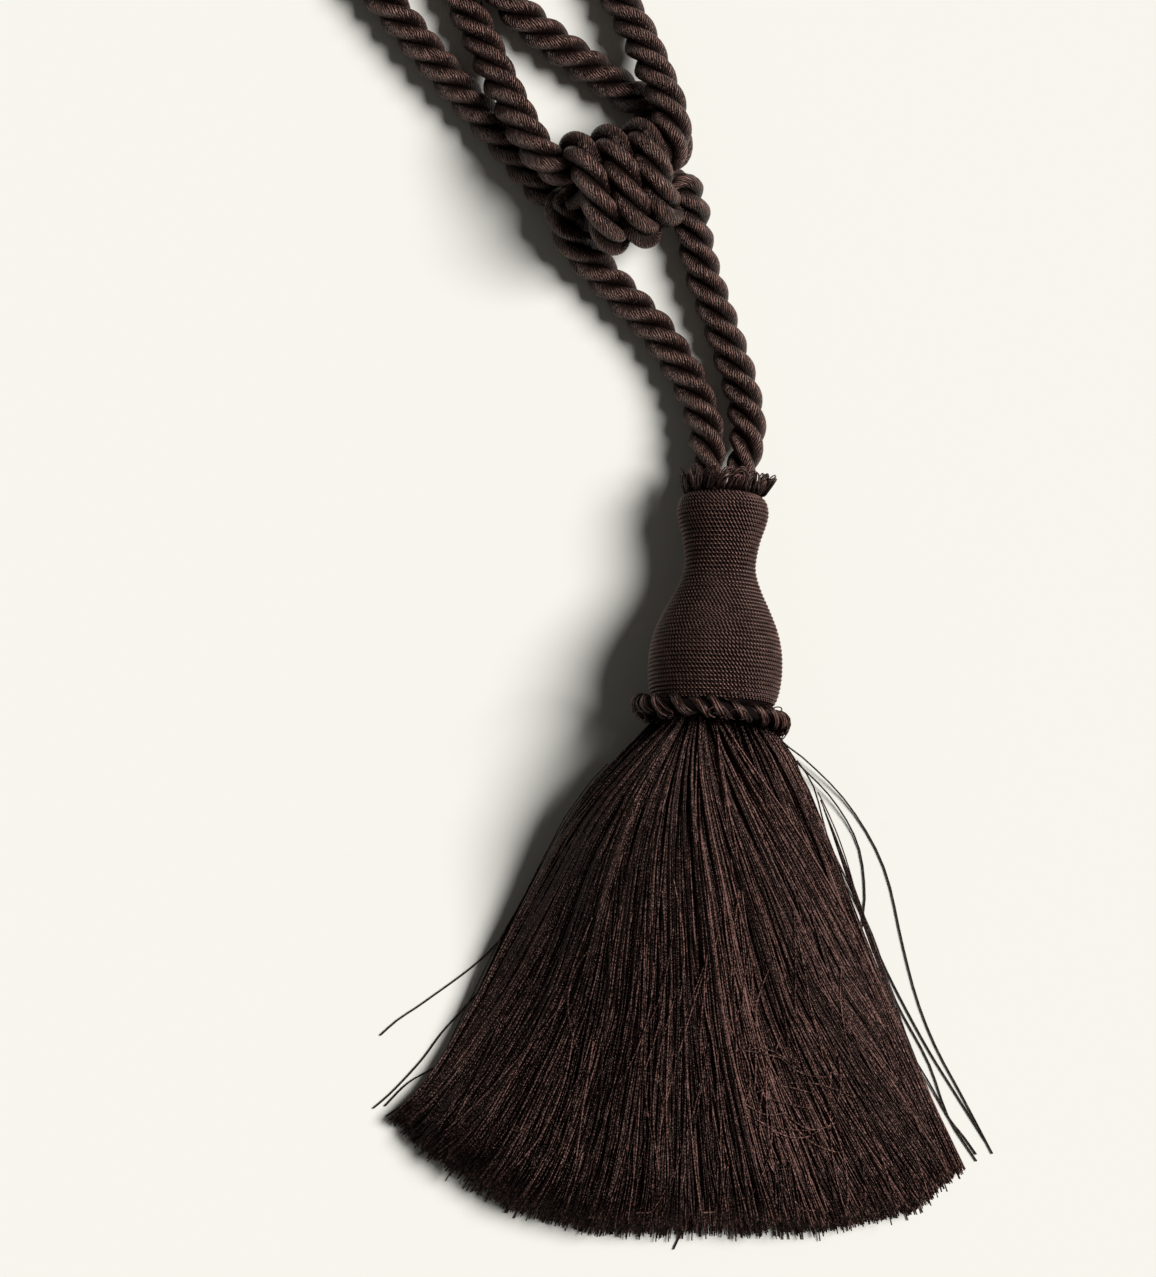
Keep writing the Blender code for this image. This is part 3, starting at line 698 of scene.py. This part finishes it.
# Stray loops hang out of the lower trimming here and there, most of them downwards.
bearing = chance.uniform(0.0, 2 * math.pi, STRAY_LOOPS)[:, None]
turn = np.linspace(STRAY_LOOP_GAP, 2 * math.pi - STRAY_LOOP_GAP, STRAY_LOOP_PLACES)[None, :]
wide = chance.uniform(*STRAY_LOOP_WIDE, STRAY_LOOPS)[:, None] * MM
tall = chance.uniform(*STRAY_LOOP_TALL, STRAY_LOOPS)[:, None] * MM
outer = chance.uniform(*STRAY_LOOP_OUT, STRAY_LOOPS)[:, None] * MM
hanging = chance.choice([-1.0, 1.0], (STRAY_LOOPS, 1), p=[0.75, 0.25])
tip = hanging * chance.uniform(*STRAY_LOOP_TIP, (STRAY_LOOPS, 1))
out = COIL_RADIUS + outer * (0.75 - 0.35 * np.cos(turn))
rise = COIL_UP - sag_at(bearing) + tip * MM - tall * np.cos(turn) * 0.8
loops = round_the_head(out, bearing + wide * np.sin(turn) / COIL_RADIUS, rise)
thread_piece("ruche_bottom_loops", loops, 4, chance.uniform(0.3, 0.6, (STRAY_LOOPS, 1)))

# The upper trimming's loops flare out, most of all on the head's right.
chance = np.random.default_rng(12)
loop_count = LOOP_BUNCHES * LOOPS_A_BUNCH
bunch = np.repeat(np.arange(LOOP_BUNCHES), LOOPS_A_BUNCH)
nest = np.tile(np.linspace(LOOP_INNERMOST, 1.0, LOOPS_A_BUNCH), LOOP_BUNCHES)[:, None]
bearing = 2 * math.pi * (bunch + chance.normal(0.0, 0.16, LOOP_BUNCHES)[bunch])[:, None] / LOOP_BUNCHES
bearing = bearing + chance.normal(0.0, 0.035, (loop_count, 1))
leaning = chance.normal(0.0, LOOP_LEAN, LOOP_BUNCHES)[bunch][:, None]
leaning = leaning + chance.normal(0.0, 0.09, (loop_count, 1))
tall = LOOP_HEIGHT * (LOOP_LEAST_HEIGHT + (1.0 - LOOP_LEAST_HEIGHT) * nest)
tall = tall * chance.normal(1.0, 0.07, (loop_count, 1))
wide = LOOP_WIDTH * nest * chance.uniform(0.8, 1.15, (loop_count, 1))
right_side = np.exp(-(np.angle(np.exp(1j * bearing)) / LOOP_RIGHT_WIDTH) ** 2)
flare = LOOP_FLARE * chance.uniform(0.3, 1.5, LOOP_BUNCHES)[bunch][:, None] + LOOP_FLARE_RIGHT * right_side
flare = flare + chance.normal(0.0, 0.07, (loop_count, 1))
twirl = chance.uniform(-LOOP_TWIRL, LOOP_TWIRL, LOOP_BUNCHES)[bunch][:, None]
twirl = twirl + chance.normal(0.0, 0.16, (loop_count, 1))
turn = np.linspace(0.0, math.pi, LOOP_PLACES)[None, :]
lift = tall * np.sin(turn) ** 0.75
side = -0.5 * wide * np.cos(turn) * (1.0 + 0.3 * np.sin(turn))
away = LOOP_RING_RADIUS + flare * lift + side * np.sin(twirl) + chance.normal(0.0, 0.5, (loop_count, 1)) * MM
rise = LOOP_RING_UP + lift * (1.0 - 0.12 * right_side) - 0.25 * leaning ** 2 * lift
crown = round_the_head(away, bearing + (side * np.cos(twirl) + leaning * lift) / LOOP_RING_RADIUS, rise)
loop_tone = LOOP_TONE + chance.normal(0.0, LOOP_TONE_CHANCE, (loop_count, 1))
# Each loop is painted darker towards its feet, as the shade low among the loops, and lightest at its top.
thread_piece("ruche_top", crown, 4, loop_tone * (0.35 + 0.65 * np.sin(turn)), "ruff_top")


# The skirt: some four thousand twisted rayon yarns, bound on a band under the head and cut at the hem. They
# fan out over the surface, slump from the head's height, cross each other and fall together in uneven locks.
BACKING_RADIUS = 14.6 * MM
BACKING_DROP = 2.3 * MM
HEM_EDGE_HEIGHT = 3.6 * MM
# (share from left to right, x, y) of the hem, in mm
HEM_LINE = (
    (0.00, -86.5, -121.5), (0.10, -75.5, -132.5), (0.25, -54.0, -146.6), (0.40, -30.0, -152.8),
    (0.50, -13.5, -152.8), (0.75, 29.0, -152.2), (0.90, 53.5, -147.2), (1.00, 67.0, -134.8),
)
# (share of the way to the hem, crown height, bulge of the left and of the right edge), in mm
SKIRT_SHAPE = (
    (0.00, 32.6, 0.0, 0.0), (0.08, 34.5, 3.6, 3.6), (0.16, 34.5, 6.2, 4.6), (0.25, 32.0, 6.7, 3.9),
    (0.37, 26.5, 4.8, 2.5), (0.52, 20.0, 2.3, 1.1), (0.69, 14.8, -1.3, 0.0), (0.85, 11.6, -3.3, -0.5),
    (0.94, 10.4, -2.8, -0.2), (1.00, 9.6, 0.0, 0.0),
)
# Where the bundle has become flat and has settled, as shares of the way to the hem.
FLAT_BY = 0.55
FLAT_POWER = 1.1
SETTLED_BY = 0.85
SETTLED_POWER = 1.2
SHOULDER_POWER = 0.7
DOME_POWER = 3.0
INNER_DRAW_IN = 0.12
ROOT_CLEAR = 3.6 * MM
ROOT_CLEAR_BY = 0.25
YARN_RADIUS = 0.20 * MM
YARN_POINTS = 3
DASH_LENGTH = 1.1
# How the yarns of a lock lie: shares are of the spacing between two locks.
LOCK_WIDTH = 0.60
LOCK_OFF_PLACE = 0.22
LOCK_ROUND = 0.05
LOCK_OPENS = 0.16
LOCK_HELD_LEAST = 0.35
HEM_SHUFFLE = 0.45
LOOSE_SHARE = 0.16
LOOSE_DRIFT = 2.2
HELD_DRIFT = 0.22
DEPTH_CHANCE = 0.03
GATHER = 1.3
# Waves of a lock, of a yarn, and a yarn's fine ones: depth, the slowest and the fastest.
LOCK_WAVE = (0.34, 2.0, 6.0)
YARN_WAVE = (0.020, 3.0, 8.0)
FINE_WAVE = (0.006, 12.0, 26.0)
WAVE_PHASES = 6.28
FAN_CROWD = 1.3
FAN_START = 0.26
FAN_LIMIT = 0.998
FAN_LIMIT_POWER = 6
ROOT_SINK = 0.30
ROOT_SINK_BY = 0.30
HEM_ROUND = 0.038
HEM_RAGGED = 0.007
YARN_LIFT = 0.30 * MM
LOCK_LIFT = 0.45 * MM
YARN_UNEVEN = 0.08
LOCK_TONE_CHANCE = 0.13
YARN_TONE_CHANCE = 0.20
LOCK_EDGE_SHADE = 0.16
ROOT_SHADE = 0.5
ROOT_SHADE_BY = 0.08
LEFT_SHADE = 0.22
LEFT_SHADE_POWER = 0.7
# The shade of a valley is painted down the left of the skirt, from near the edge towards the middle.
VALLEY_SHADE = 0.30
VALLEY_FROM = 0.80
VALLEY_TURN = 0.47
VALLEY_WIDTH = 0.08
VALLEY_START = 0.10
VALLEY_LENGTH = 0.68
HEM_SHADE = 0.16
HEM_SHADE_FROM = 0.90
CUT_LIGHT = 0.6
CUT_LIGHT_FROM = 0.96
HEM_FADE = 0.04

# Rayon yarn, dyed dark brown: it shines softly, and its two plies show as slanting dashes.
skirt_yarn, tree, shader = new_material(
    "twisted_skirt_yarn", Roughness=0.38, Specular_IOR_Level=0.55, Specular_Tint=linear(SATIN_LIGHT))
yarn_uv = add_node(tree, "ShaderNodeUVMap", {"uv_map": "yarn"})["UV"]
split = add_node(tree, "ShaderNodeSeparateXYZ", Vector=yarn_uv)
tone = add_node(tree, "ShaderNodeAttribute", {"attribute_name": "tone"})["Fac"]
# The two plies of each yarn show as a slanting dash every 1.1 mm, shifted from yarn to yarn, as a bump and as
# painted light and dark. Patches of painted highlight stand for where the yarn waves up into the light.
dash_turn = add_node(tree, "ShaderNodeMath", {"operation": "MULTIPLY", 1: 2 * math.pi / DASH_LENGTH},
                     i0=split["Y"])[0]
ply_turn = add_node(tree, "ShaderNodeMath", {"operation": "MULTIPLY_ADD", 1: 2 * math.pi}, i0=split["X"],
                    i2=dash_turn)[0]
patch = add_node(tree, "ShaderNodeMapping", {"Scale": (0.37, 0.42, 1.0)}, Vector=yarn_uv)["Vector"]
waving = add_node(tree, "ShaderNodeTexNoise", {"Scale": 1.0, "Detail": 3.0}, Vector=patch)["Fac"]
own_turn = add_node(tree, "ShaderNodeMath", {"operation": "MULTIPLY_ADD", 1: 22.0}, i0=waving, i2=ply_turn)[0]
dash = add_node(tree, "ShaderNodeMath", {"operation": "SINE"}, i0=own_turn)[0]
painted_wave_light = add_node(tree, "ShaderNodeMath", {"operation": "MULTIPLY_ADD", 1: 1.8, 2: -0.9}, i0=waving)[0]
lit = add_node(tree, "ShaderNodeMath", {"operation": "MULTIPLY_ADD", 1: 0.22}, i0=dash, i2=painted_wave_light)[0]
shade = add_node(tree, "ShaderNodeMath", {"operation": "ADD"}, i0=tone, i1=lit)[0]
tint = add_node(tree, "ShaderNodeValToRGB", Fac=shade)
ramp = tree.nodes[-1].color_ramp
ramp.elements[0].color = linear("#080403")
ramp.elements[1].color = linear("#85625A")
ramp.elements.new(0.44).color = linear("#1D1210")
tree.links.new(tint["Color"], shader.inputs["Base Color"])
relief = add_node(tree, "ShaderNodeBump", {"Strength": 0.6, "Distance": 0.0002}, Height=dash)["Normal"]
tree.links.new(relief, shader.inputs["Normal"])

root_middle = head_at @ Vector((0.0, 0.0, -BACKING_DROP))


def yarn_places(angle, depth, spread):
    """Where yarns lie. angle runs from the left edge over the crown, depth is 1 at the outside.

    spread is the share of the way to the hem. Near the head the bundle is round; towards the hem it is a low
    flat heap that rests on the surface.
    """
    flat = np.clip(spread / FLAT_BY, 0.0, 1.0) ** FLAT_POWER
    settled = np.clip(spread / SETTLED_BY, 0.0, 1.0) ** SETTLED_POWER
    half_turn = np.where(angle <= math.pi, angle / math.pi, 2.0 - angle / math.pi)
    inner = 1.0 - (1.0 - depth) * INNER_DRAW_IN
    round_across = 0.5 - 0.5 * depth * np.cos(angle)
    across = round_across + (0.5 + (half_turn - 0.5) * inner - round_across) * flat
    shares, xs, ys = np.array(HEM_LINE).T
    marks, crowns, lefts, rights = np.array(SKIRT_SHAPE).T
    inside = np.clip(across, 0.0, 1.0)
    lean = 2.0 * inside - 1.0
    hem_x = np.interp(inside, shares, xs) * MM
    hem_y = np.interp(inside, shares, ys) * MM
    root_x = root_middle.x + lean * BACKING_RADIUS
    bulge = np.where(lean < 0.0, np.interp(spread, marks, lefts), np.interp(spread, marks, rights))
    x = root_x + (hem_x - root_x) * spread + bulge * MM * lean
    y = root_middle.y + (hem_y - root_middle.y) * spread
    crown = np.interp(spread, marks, crowns) * MM
    floor = ROOT_CLEAR * np.clip(1.0 - spread / ROOT_CLEAR_BY, 0.0, 1.0)
    edge = np.minimum(HEM_EDGE_HEIGHT, crown)
    dome = edge + (crown - edge) * (1.0 - np.abs(lean) ** DOME_POWER)
    level = np.sign(np.sin(angle)) * np.sqrt(np.minimum(1.0, 3.0 * np.abs(np.sin(angle))))
    bow = np.sign(np.sin(angle)) * np.abs(np.sin(angle)) ** SHOULDER_POWER
    round_z = floor + (crown - floor) * (0.5 + 0.5 * depth * bow)
    flat_z = floor + (dome - floor) * (0.5 + 0.5 * depth * level)
    return np.stack([x, y, round_z + (flat_z - round_z) * settled], axis=-1)


def own_waves(chance, wave, count, spread):
    """One wave for each of count yarns or locks: its depth, its speed and its phase are drawn by chance."""
    depth = chance.normal(0.0, wave[0], count)[:, None]
    speed = chance.uniform(wave[1], wave[2], count)[:, None]
    phase = chance.uniform(0.0, WAVE_PHASES, count)[:, None]
    return depth * np.sin(spread * speed + phase)


def fan_out(angle, spread, reach, start, power):
    """The angles parted from the middle line: by reach at the hem, by its share start at the root."""
    wide = angle / (math.pi / 2) - 1.0
    wide = np.sign(wide) * reach * np.abs(wide) ** FAN_CROWD * (start + (1.0 - start) * spread ** power)
    wide = wide - FAN_START * (1.0 - spread) ** 1.5
    wide = wide / (1.0 + wide ** FAN_LIMIT_POWER) ** (1 / FAN_LIMIT_POWER)
    return math.pi / 2 * (1.0 + FAN_LIMIT * wide)


def shade_by_place(tones, angle, spread):
    """The tones with painted shade at the root, on the skirt's left and in its valley; and darker at the hem.
    """
    from_middle = angle / (math.pi / 2) - 1.0
    tones = tones * (ROOT_SHADE + (1.0 - ROOT_SHADE) * np.clip(spread / ROOT_SHADE_BY, 0.0, 1.0))
    tones = tones - LEFT_SHADE * np.clip(-from_middle, 0.0, 1.0) ** LEFT_SHADE_POWER
    valley = np.exp(-((from_middle + VALLEY_FROM - VALLEY_TURN * spread) / VALLEY_WIDTH) ** 2)
    deep = np.sin(math.pi * np.clip((spread - VALLEY_START) / VALLEY_LENGTH, 0.0, 1.0))
    tones = tones - VALLEY_SHADE * valley * deep
    return tones - HEM_SHADE * np.clip((spread - HEM_SHADE_FROM) / HEM_FADE, 0.0, 1.0)


def yarn_bundle(name, locks, per_lock, angles, depths, rings, seed, tone, begin=0.0, fan=None, nodes=()):
    """Many yarns in locks between two angles and two depths, each lock with its own sway and height.

    fan is how far the yarns part from the middle line: reach at the hem, share of it at the root, and power.
    """
    chance = np.random.default_rng(seed)
    count = locks * per_lock
    lock = np.repeat(np.arange(locks), per_lock)
    near = (angles[1] - angles[0]) / locks
    lock_angle = angles[0] + near * (np.arange(locks) + 0.5 + chance.normal(0.0, LOCK_OFF_PLACE, locks))
    lock_depth = chance.uniform(depths[0], depths[1], locks)
    spread = np.linspace(begin, 1.0, rings)[None, :]
    place = chance.uniform(-1.0, 1.0, count)
    own_angle = lock_angle[lock] + LOCK_WIDTH * place * near
    held = np.clip(1.0 - chance.exponential(LOCK_OPENS, locks), LOCK_HELD_LEAST, 1.0)[lock]
    astray = np.where(chance.uniform(0.0, 1.0, count) < LOOSE_SHARE, LOOSE_DRIFT, HELD_DRIFT)
    hem_place = np.clip(place + chance.normal(0.0, HEM_SHUFFLE, count), -1.2, 1.2)
    drift = LOCK_WIDTH * hem_place * held + chance.normal(0.0, 1.0, count) * astray
    hem_angle = lock_angle[lock] + drift * near
    own_depth = lock_depth[lock] + chance.normal(0.0, DEPTH_CHANCE, count) - LOCK_ROUND * place ** 2
    own_depth = np.clip(own_depth, 0.05, 1.0)
    gather = np.clip(spread * GATHER, 0.0, 1.0)
    sway = own_waves(chance, LOCK_WAVE, locks, spread)[lock] * near
    sway = sway + own_waves(chance, YARN_WAVE, count, spread)
    sway = sway + own_waves(chance, FINE_WAVE, count, spread)
    angle = own_angle[:, None] * (1.0 - gather) + hem_angle[:, None] * gather + sway * np.sqrt(spread)
    angle = np.clip(angle, angles[0] + 0.004, angles[1] - 0.004)
    sunk = 1.0 + 0.0 * spread
    if fan:
        angle = fan_out(angle, spread, *fan)
        sunk = chance.uniform(0.0, ROOT_SINK, locks)[lock][:, None]
        sunk = 1.0 - sunk * np.clip(1.0 - spread / ROOT_SINK_BY, 0.0, 1.0)
    rise = 0.5 + 0.5 * own_depth * np.sin(own_angle)
    reach = 1.0 - HEM_ROUND * rise ** 2 + chance.normal(0.0, HEM_RAGGED, count)
    lines = yarn_places(angle, own_depth[:, None] * sunk, spread * reach[:, None])
    lift = chance.normal(0.0, YARN_LIFT, count) + chance.normal(0.0, LOCK_LIFT, locks)[lock]
    lines[:, :, 2] += lift[:, None] * np.clip(spread * 2.0, 0.0, 1.0)
    lines[:, :, 2] = np.maximum(lines[:, :, 2], YARN_RADIUS)
    thick = YARN_RADIUS * chance.normal(1.0, YARN_UNEVEN, count)[:, None] * np.ones_like(spread)
    tubes, marks = thread_tubes(lines, thick, YARN_POINTS)
    tubes[:, :, :, 2] = np.maximum(tubes[:, :, :, 2], 0.0)
    # A lock's yarns are painted darker towards its edges, as the shade in the gaps between locks; the rest
    # differs at random.
    tones = tone + chance.normal(0.0, LOCK_TONE_CHANCE, locks)[lock]
    tones = tones + chance.normal(0.0, YARN_TONE_CHANCE, count) - LOCK_EDGE_SHADE * place ** 2
    tones = shade_by_place(tones[:, None], angle, spread)
    # The cut ends are given a painted highlight, some more than others.
    at_the_cut = np.clip((spread - CUT_LIGHT_FROM) / HEM_FADE, 0.0, 1.0)
    tones = tones + chance.uniform(0.0, CUT_LIGHT, count)[:, None] * at_the_cut
    return add_piece(name, tube_mesh(name, tubes, marks, tones[:, :, None]), skirt_yarn, "skirt_yarn", *nodes)


# The top layer and the one that shows between its locks fan out on their own. Three more fill the skirt, and
# short cut ends fill its hem. The layers further in are given darker tones, as painted shade.
OVER = (0.0, math.pi)
UNDER = (math.pi, 2 * math.pi)
ALL_ROUND = (0.0, 2 * math.pi)
yarn_bundle("skirt_crown", 74, 20, OVER, (0.88, 1.0), rings=18, seed=21, tone=0.48, fan=(1.9, 0.18, 0.8),
            nodes=["skirt"])
yarn_bundle("skirt_second", 80, 14, OVER, (0.80, 0.95), rings=14, seed=25, tone=0.42, fan=(2.0, 0.62, 0.9))
yarn_bundle("skirt_inner", 70, 10, OVER, (0.45, 0.74), rings=11, seed=22, tone=0.20)
yarn_bundle("skirt_middle", 40, 8, ALL_ROUND, (0.1, 0.5), rings=9, seed=23, tone=0.15)
yarn_bundle("skirt_under", 70, 10, UNDER, (0.75, 1.0), rings=12, seed=24, tone=0.30)
yarn_bundle("skirt_cut", 60, 24, OVER, (0.1, 1.0), rings=4, seed=26, tone=0.40, begin=0.88)

# The loose ends: a few yarns that have slipped out of the fan and lie on the surface beside it.
STRAYS = (
    ((13.0, -17.0, 16.0), (18.1, -22.1, 12.0), (24.5, -27.0, 7.0), (34.4, -36.9, 2.0), (42.3, -48.8, 0.6),
     (46.7, -59.6, 0.4), (50.2, -75.4, 0.5), (54.1, -90.3, 0.4), (59.1, -103.1, 0.4), (66.0, -116.0, 0.4),
     (74.2, -131.6, 0.3)),
    ((17.0, -22.0, 14.0), (22.5, -28.0, 9.0), (30.4, -35.9, 4.0), (36.4, -44.8, 1.5), (39.3, -52.7, 0.8),
     (40.3, -63.6, 0.8), (39.6, -75.5, 1.2), (44.6, -96.0, 1.2), (54.0, -118.0, 0.6)),
    ((22.0, -27.0, 12.0), (26.5, -33.9, 7.0), (30.4, -47.8, 3.5), (34.4, -56.7, 2.0), (42.3, -73.5, 0.8),
     (48.2, -90.3, 0.5), (57.1, -107.1, 0.4), (62.5, -121.9, 0.4), (70.0, -133.6, 0.3)),
    ((26.0, -40.0, 8.0), (31.4, -50.7, 4.0), (40.3, -69.5, 1.0), (46.2, -83.3, 0.5), (56.1, -102.1, 0.5),
     (64.0, -115.0, 0.4), (72.4, -128.3, 0.3)),
    ((52.0, -104.0, 2.5), (57.5, -113.0, 1.2), (62.5, -121.9, 0.6), (66.5, -127.0, 0.4), (69.9, -131.8, 0.3)),
    ((-38.0, -48.0, 9.0), (-50.0, -66.0, 3.5), (-61.3, -79.5, 1.0), (-76.4, -91.0, 0.5), (-83.7, -95.9, 0.4),
     (-88.5, -100.1, 0.3)),
    ((-48.0, -68.0, 7.0), (-56.0, -80.0, 3.0), (-63.1, -89.2, 1.0), (-72.2, -99.5, 0.5), (-77.6, -106.8, 0.4),
     (-85.5, -115.3, 0.4), (-90.4, -119.5, 0.3)),
    ((-62.0, -99.0, 4.0), (-68.0, -104.5, 2.0), (-74.6, -108.9, 0.8), (-81.3, -112.9, 0.4),
     (-87.3, -118.9, 0.3)),
    ((-64.0, -102.0, 4.0), (-70.0, -109.0, 2.0), (-77.0, -114.4, 0.8), (-82.0, -118.2, 0.4),
     (-87.0, -121.6, 0.3)),
    ((-4.8, -141.0, 6.0), (-6.4, -146.0, 4.0), (-8.1, -151.6, 1.5), (-9.4, -154.4, 0.5),
     (-10.6, -157.0, 0.3)),
)
STRAY_RADIUS = 0.19 * MM
STRAY_STEP = 1.5 * MM
STRAY_PLACES = 26
STRAY_THICK = 1.25
STRAY_TONE = -0.6
STRAY_FLATTEN = 0.35
STRAY_DROP = 0.1 * MM
stray_lines = []
for stray in STRAYS:
    _, places = smooth_path([Vector(p) * MM for p in stray], STRAY_STEP)
    every = np.arange(len(places))
    pick = np.linspace(0, len(places) - 1, STRAY_PLACES)
    stray_lines.append(np.column_stack([np.interp(pick, every, places[:, k]) for k in range(3)]))
stray_lines = np.array(stray_lines)
stray_lines[:, :, 2] = np.maximum(STRAY_FLATTEN * stray_lines[:, :, 2] - STRAY_DROP, STRAY_RADIUS)

# More of them have crossed over the others and lie on top of the skirt, most of them low on its right.
CROSSING_YARNS = 54
CROSSING_LIFT = (0.2 * MM, 0.9 * MM)
chance = np.random.default_rng(31)
along = np.linspace(0.0, 1.0, STRAY_PLACES)[None, :]
arch = np.sin(math.pi * along)
starts = np.sort(chance.beta(2.2, 1.6, CROSSING_YARNS))[:, None] * 0.86 + 0.07
first = chance.uniform(0.30, 0.72, CROSSING_YARNS)[:, None]
length = chance.uniform(0.20, 0.42, CROSSING_YARNS)[:, None]
drift = chance.normal(0.0, 0.045, CROSSING_YARNS)[:, None]
bend = chance.normal(0.0, 0.02, CROSSING_YARNS)[:, None]
angle = math.pi * np.clip(starts + drift * along + bend * arch, 0.02, 0.98)
crossing = yarn_places(angle, 1.0 + 0.0 * along, np.clip(first + length * along, 0.0, 0.95))
crossing[:, :, 2] += CROSSING_LIFT[0]
crossing[:, :, 2] += CROSSING_LIFT[1] * arch * chance.uniform(0.0, 1.0, (CROSSING_YARNS, 1))

# A few have caught in a tangle low on its right, where they lie almost square to the rest.
TANGLED_YARNS = 12
TANGLE_LIFT = (0.4 * MM, 0.6 * MM)
first = chance.uniform(0.60, 0.80, TANGLED_YARNS)[:, None]
length = chance.uniform(0.01, 0.09, TANGLED_YARNS)[:, None]
starts = chance.uniform(0.56, 0.72, TANGLED_YARNS)[:, None]
drift = chance.uniform(0.06, 0.15, TANGLED_YARNS)[:, None]
angle = math.pi * (starts + drift * along)
bent = length * along + chance.uniform(-0.02, 0.03, TANGLED_YARNS)[:, None] * arch
tangle = yarn_places(angle, 1.0 + 0.0 * along, first + bent)
tangle[:, :, 2] += TANGLE_LIFT[0] + TANGLE_LIFT[1] * arch

# And some have sprung out from the edges by a millimetre or two, most of them on the right.
EDGE_YARNS = 24
EDGE_INSIDE = 0.4 * MM
EDGE_BOW = 0.7
edge = chance.choice([math.pi - 0.01, 0.01], (EDGE_YARNS, 1), p=[0.7, 0.3])
first = chance.uniform(0.10, 0.62, (EDGE_YARNS, 1))
reach = np.clip(first + chance.uniform(0.25, 0.5, (EDGE_YARNS, 1)) * along, 0.0, 0.99)
sprung = yarn_places(edge + 0.0 * along, 1.0 + 0.0 * along, reach)
bow = chance.exponential(EDGE_BOW, (EDGE_YARNS, 1)) * MM
sprung[:, :, 0] += np.where(edge > 1.0, 1.0, -1.0) * (bow * arch ** 0.8 - EDGE_INSIDE)

loose = np.concatenate([stray_lines, crossing, tangle, sprung])
tones = np.concatenate([
    np.full(len(STRAYS), STRAY_TONE), chance.uniform(0.45, 0.85, CROSSING_YARNS),
    chance.uniform(0.4, 0.8, TANGLED_YARNS), chance.uniform(-0.3, 0.5, EDGE_YARNS)])
thick = np.where(np.arange(len(loose)) < len(STRAYS), STRAY_THICK, 1.0)[:, None]
tubes, marks = thread_tubes(loose, thick * np.full(loose.shape[:2], STRAY_RADIUS), 4)
tubes[:, :, :, 2] = np.maximum(tubes[:, :, :, 2], 0.0)
strays = tube_mesh("skirt_strays", tubes, marks, tones[:, None, None])
add_piece("skirt_strays", strays, skirt_yarn, "skirt_yarn")
